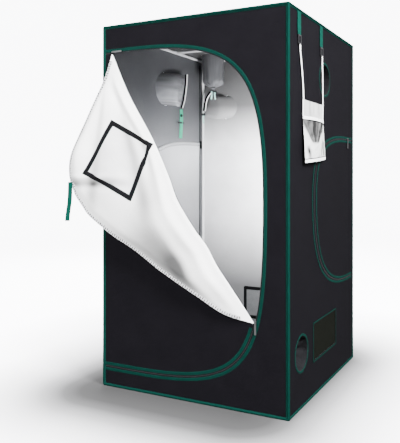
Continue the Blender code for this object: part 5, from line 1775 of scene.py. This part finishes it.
def makeSeams():  # The taped seam up the left wall's back corner, and the patch across it
    place = onWall("left", innerShape["depth"] + innerShape["seamLift"])
    for name, run, rises, inward, width, thickness in (
            ("cornerSeam", innerShape["seamRun"], (0.07, 1.76, 60), 0, 0.010, 0.0003),
            ("cornerPatch", innerShape["patchRun"], (1.225, 1.272, 5), -0.002, 0.022, 0.0005)):
        line = [place @ Vector((run, z, inward)) for z in np.linspace(*rises)]
        settle(strip(name, line, rightward, width, 0.0003, looks["blackTape"], thickness=thickness), "tent")


def makePortStrap():  # The webbing strap that hangs from the left port's sleeve, with its lock and buckle
    place = onWall("left", innerShape["depth"] + portStrap["lift"])
    foot = portStrap["foot"]
    line = [place @ Vector((-portStrap["y"] + 0.002 * math.sin(z * 21), z,
                            -portStrap["away"] - 0.003 * math.sin((z - foot) * 14)))
            for z in np.linspace(portStrap["top"], foot, 24)]
    strap = strip("leftPortStrap", line, Vector((0.45, -0.89, 0)), portStrap["width"], 0.0005, looks["mint"],
                  thickness=0.0007)
    settle(strap, "tent")
    locks = [block("lock", place @ Matrix.Translation(where), size, looks["plastic"], bevel)
             for where, size, bevel in portStrap["locks"]]
    settle(joined("leftPortLocks", locks), "tent")


# The frame's own metal and plastic, and the small hardware, shown as the CAD made them

def dressNode(name, look):
    node = nodes[name]
    node.data.materials.clear()
    node.data.materials.append(looks[look])


def dressFrame():
    for name in nodes:
        if name.startswith(("post", "top_rail", "bottom_rail", "hanging_bar")):
            dressNode(name, "steel")
        elif name.startswith("connector"):
            dressNode(name, "moulding")
        elif "slider" in name or "pull" in name:
            dressNode(name, "zipMetal")
        elif "clip" in name:
            dressNode(name, "plastic")


makeCamera()
makeBackdrop()
makeWorld()
makeLamps()
print("camera and stage")
makeWalls()
makeTray()
print("walls", len(cut))
makeSideDoors()
makeFrontZips()
makeSideZips()
makeBinding()
makeEdgePiping()
makeVents()
print("zips and binding")
makeFlap()
makeFlapEdges()
makeWindow()
makeLowerDoor()
makeTieStrap()
print("front door")
makePorts()
makePouch()
makeHangStraps()
makeInnerZips()
makeSeams()
makeSleeveTies()
makePortStrap()
dressFrame()
print("ports and pouch")
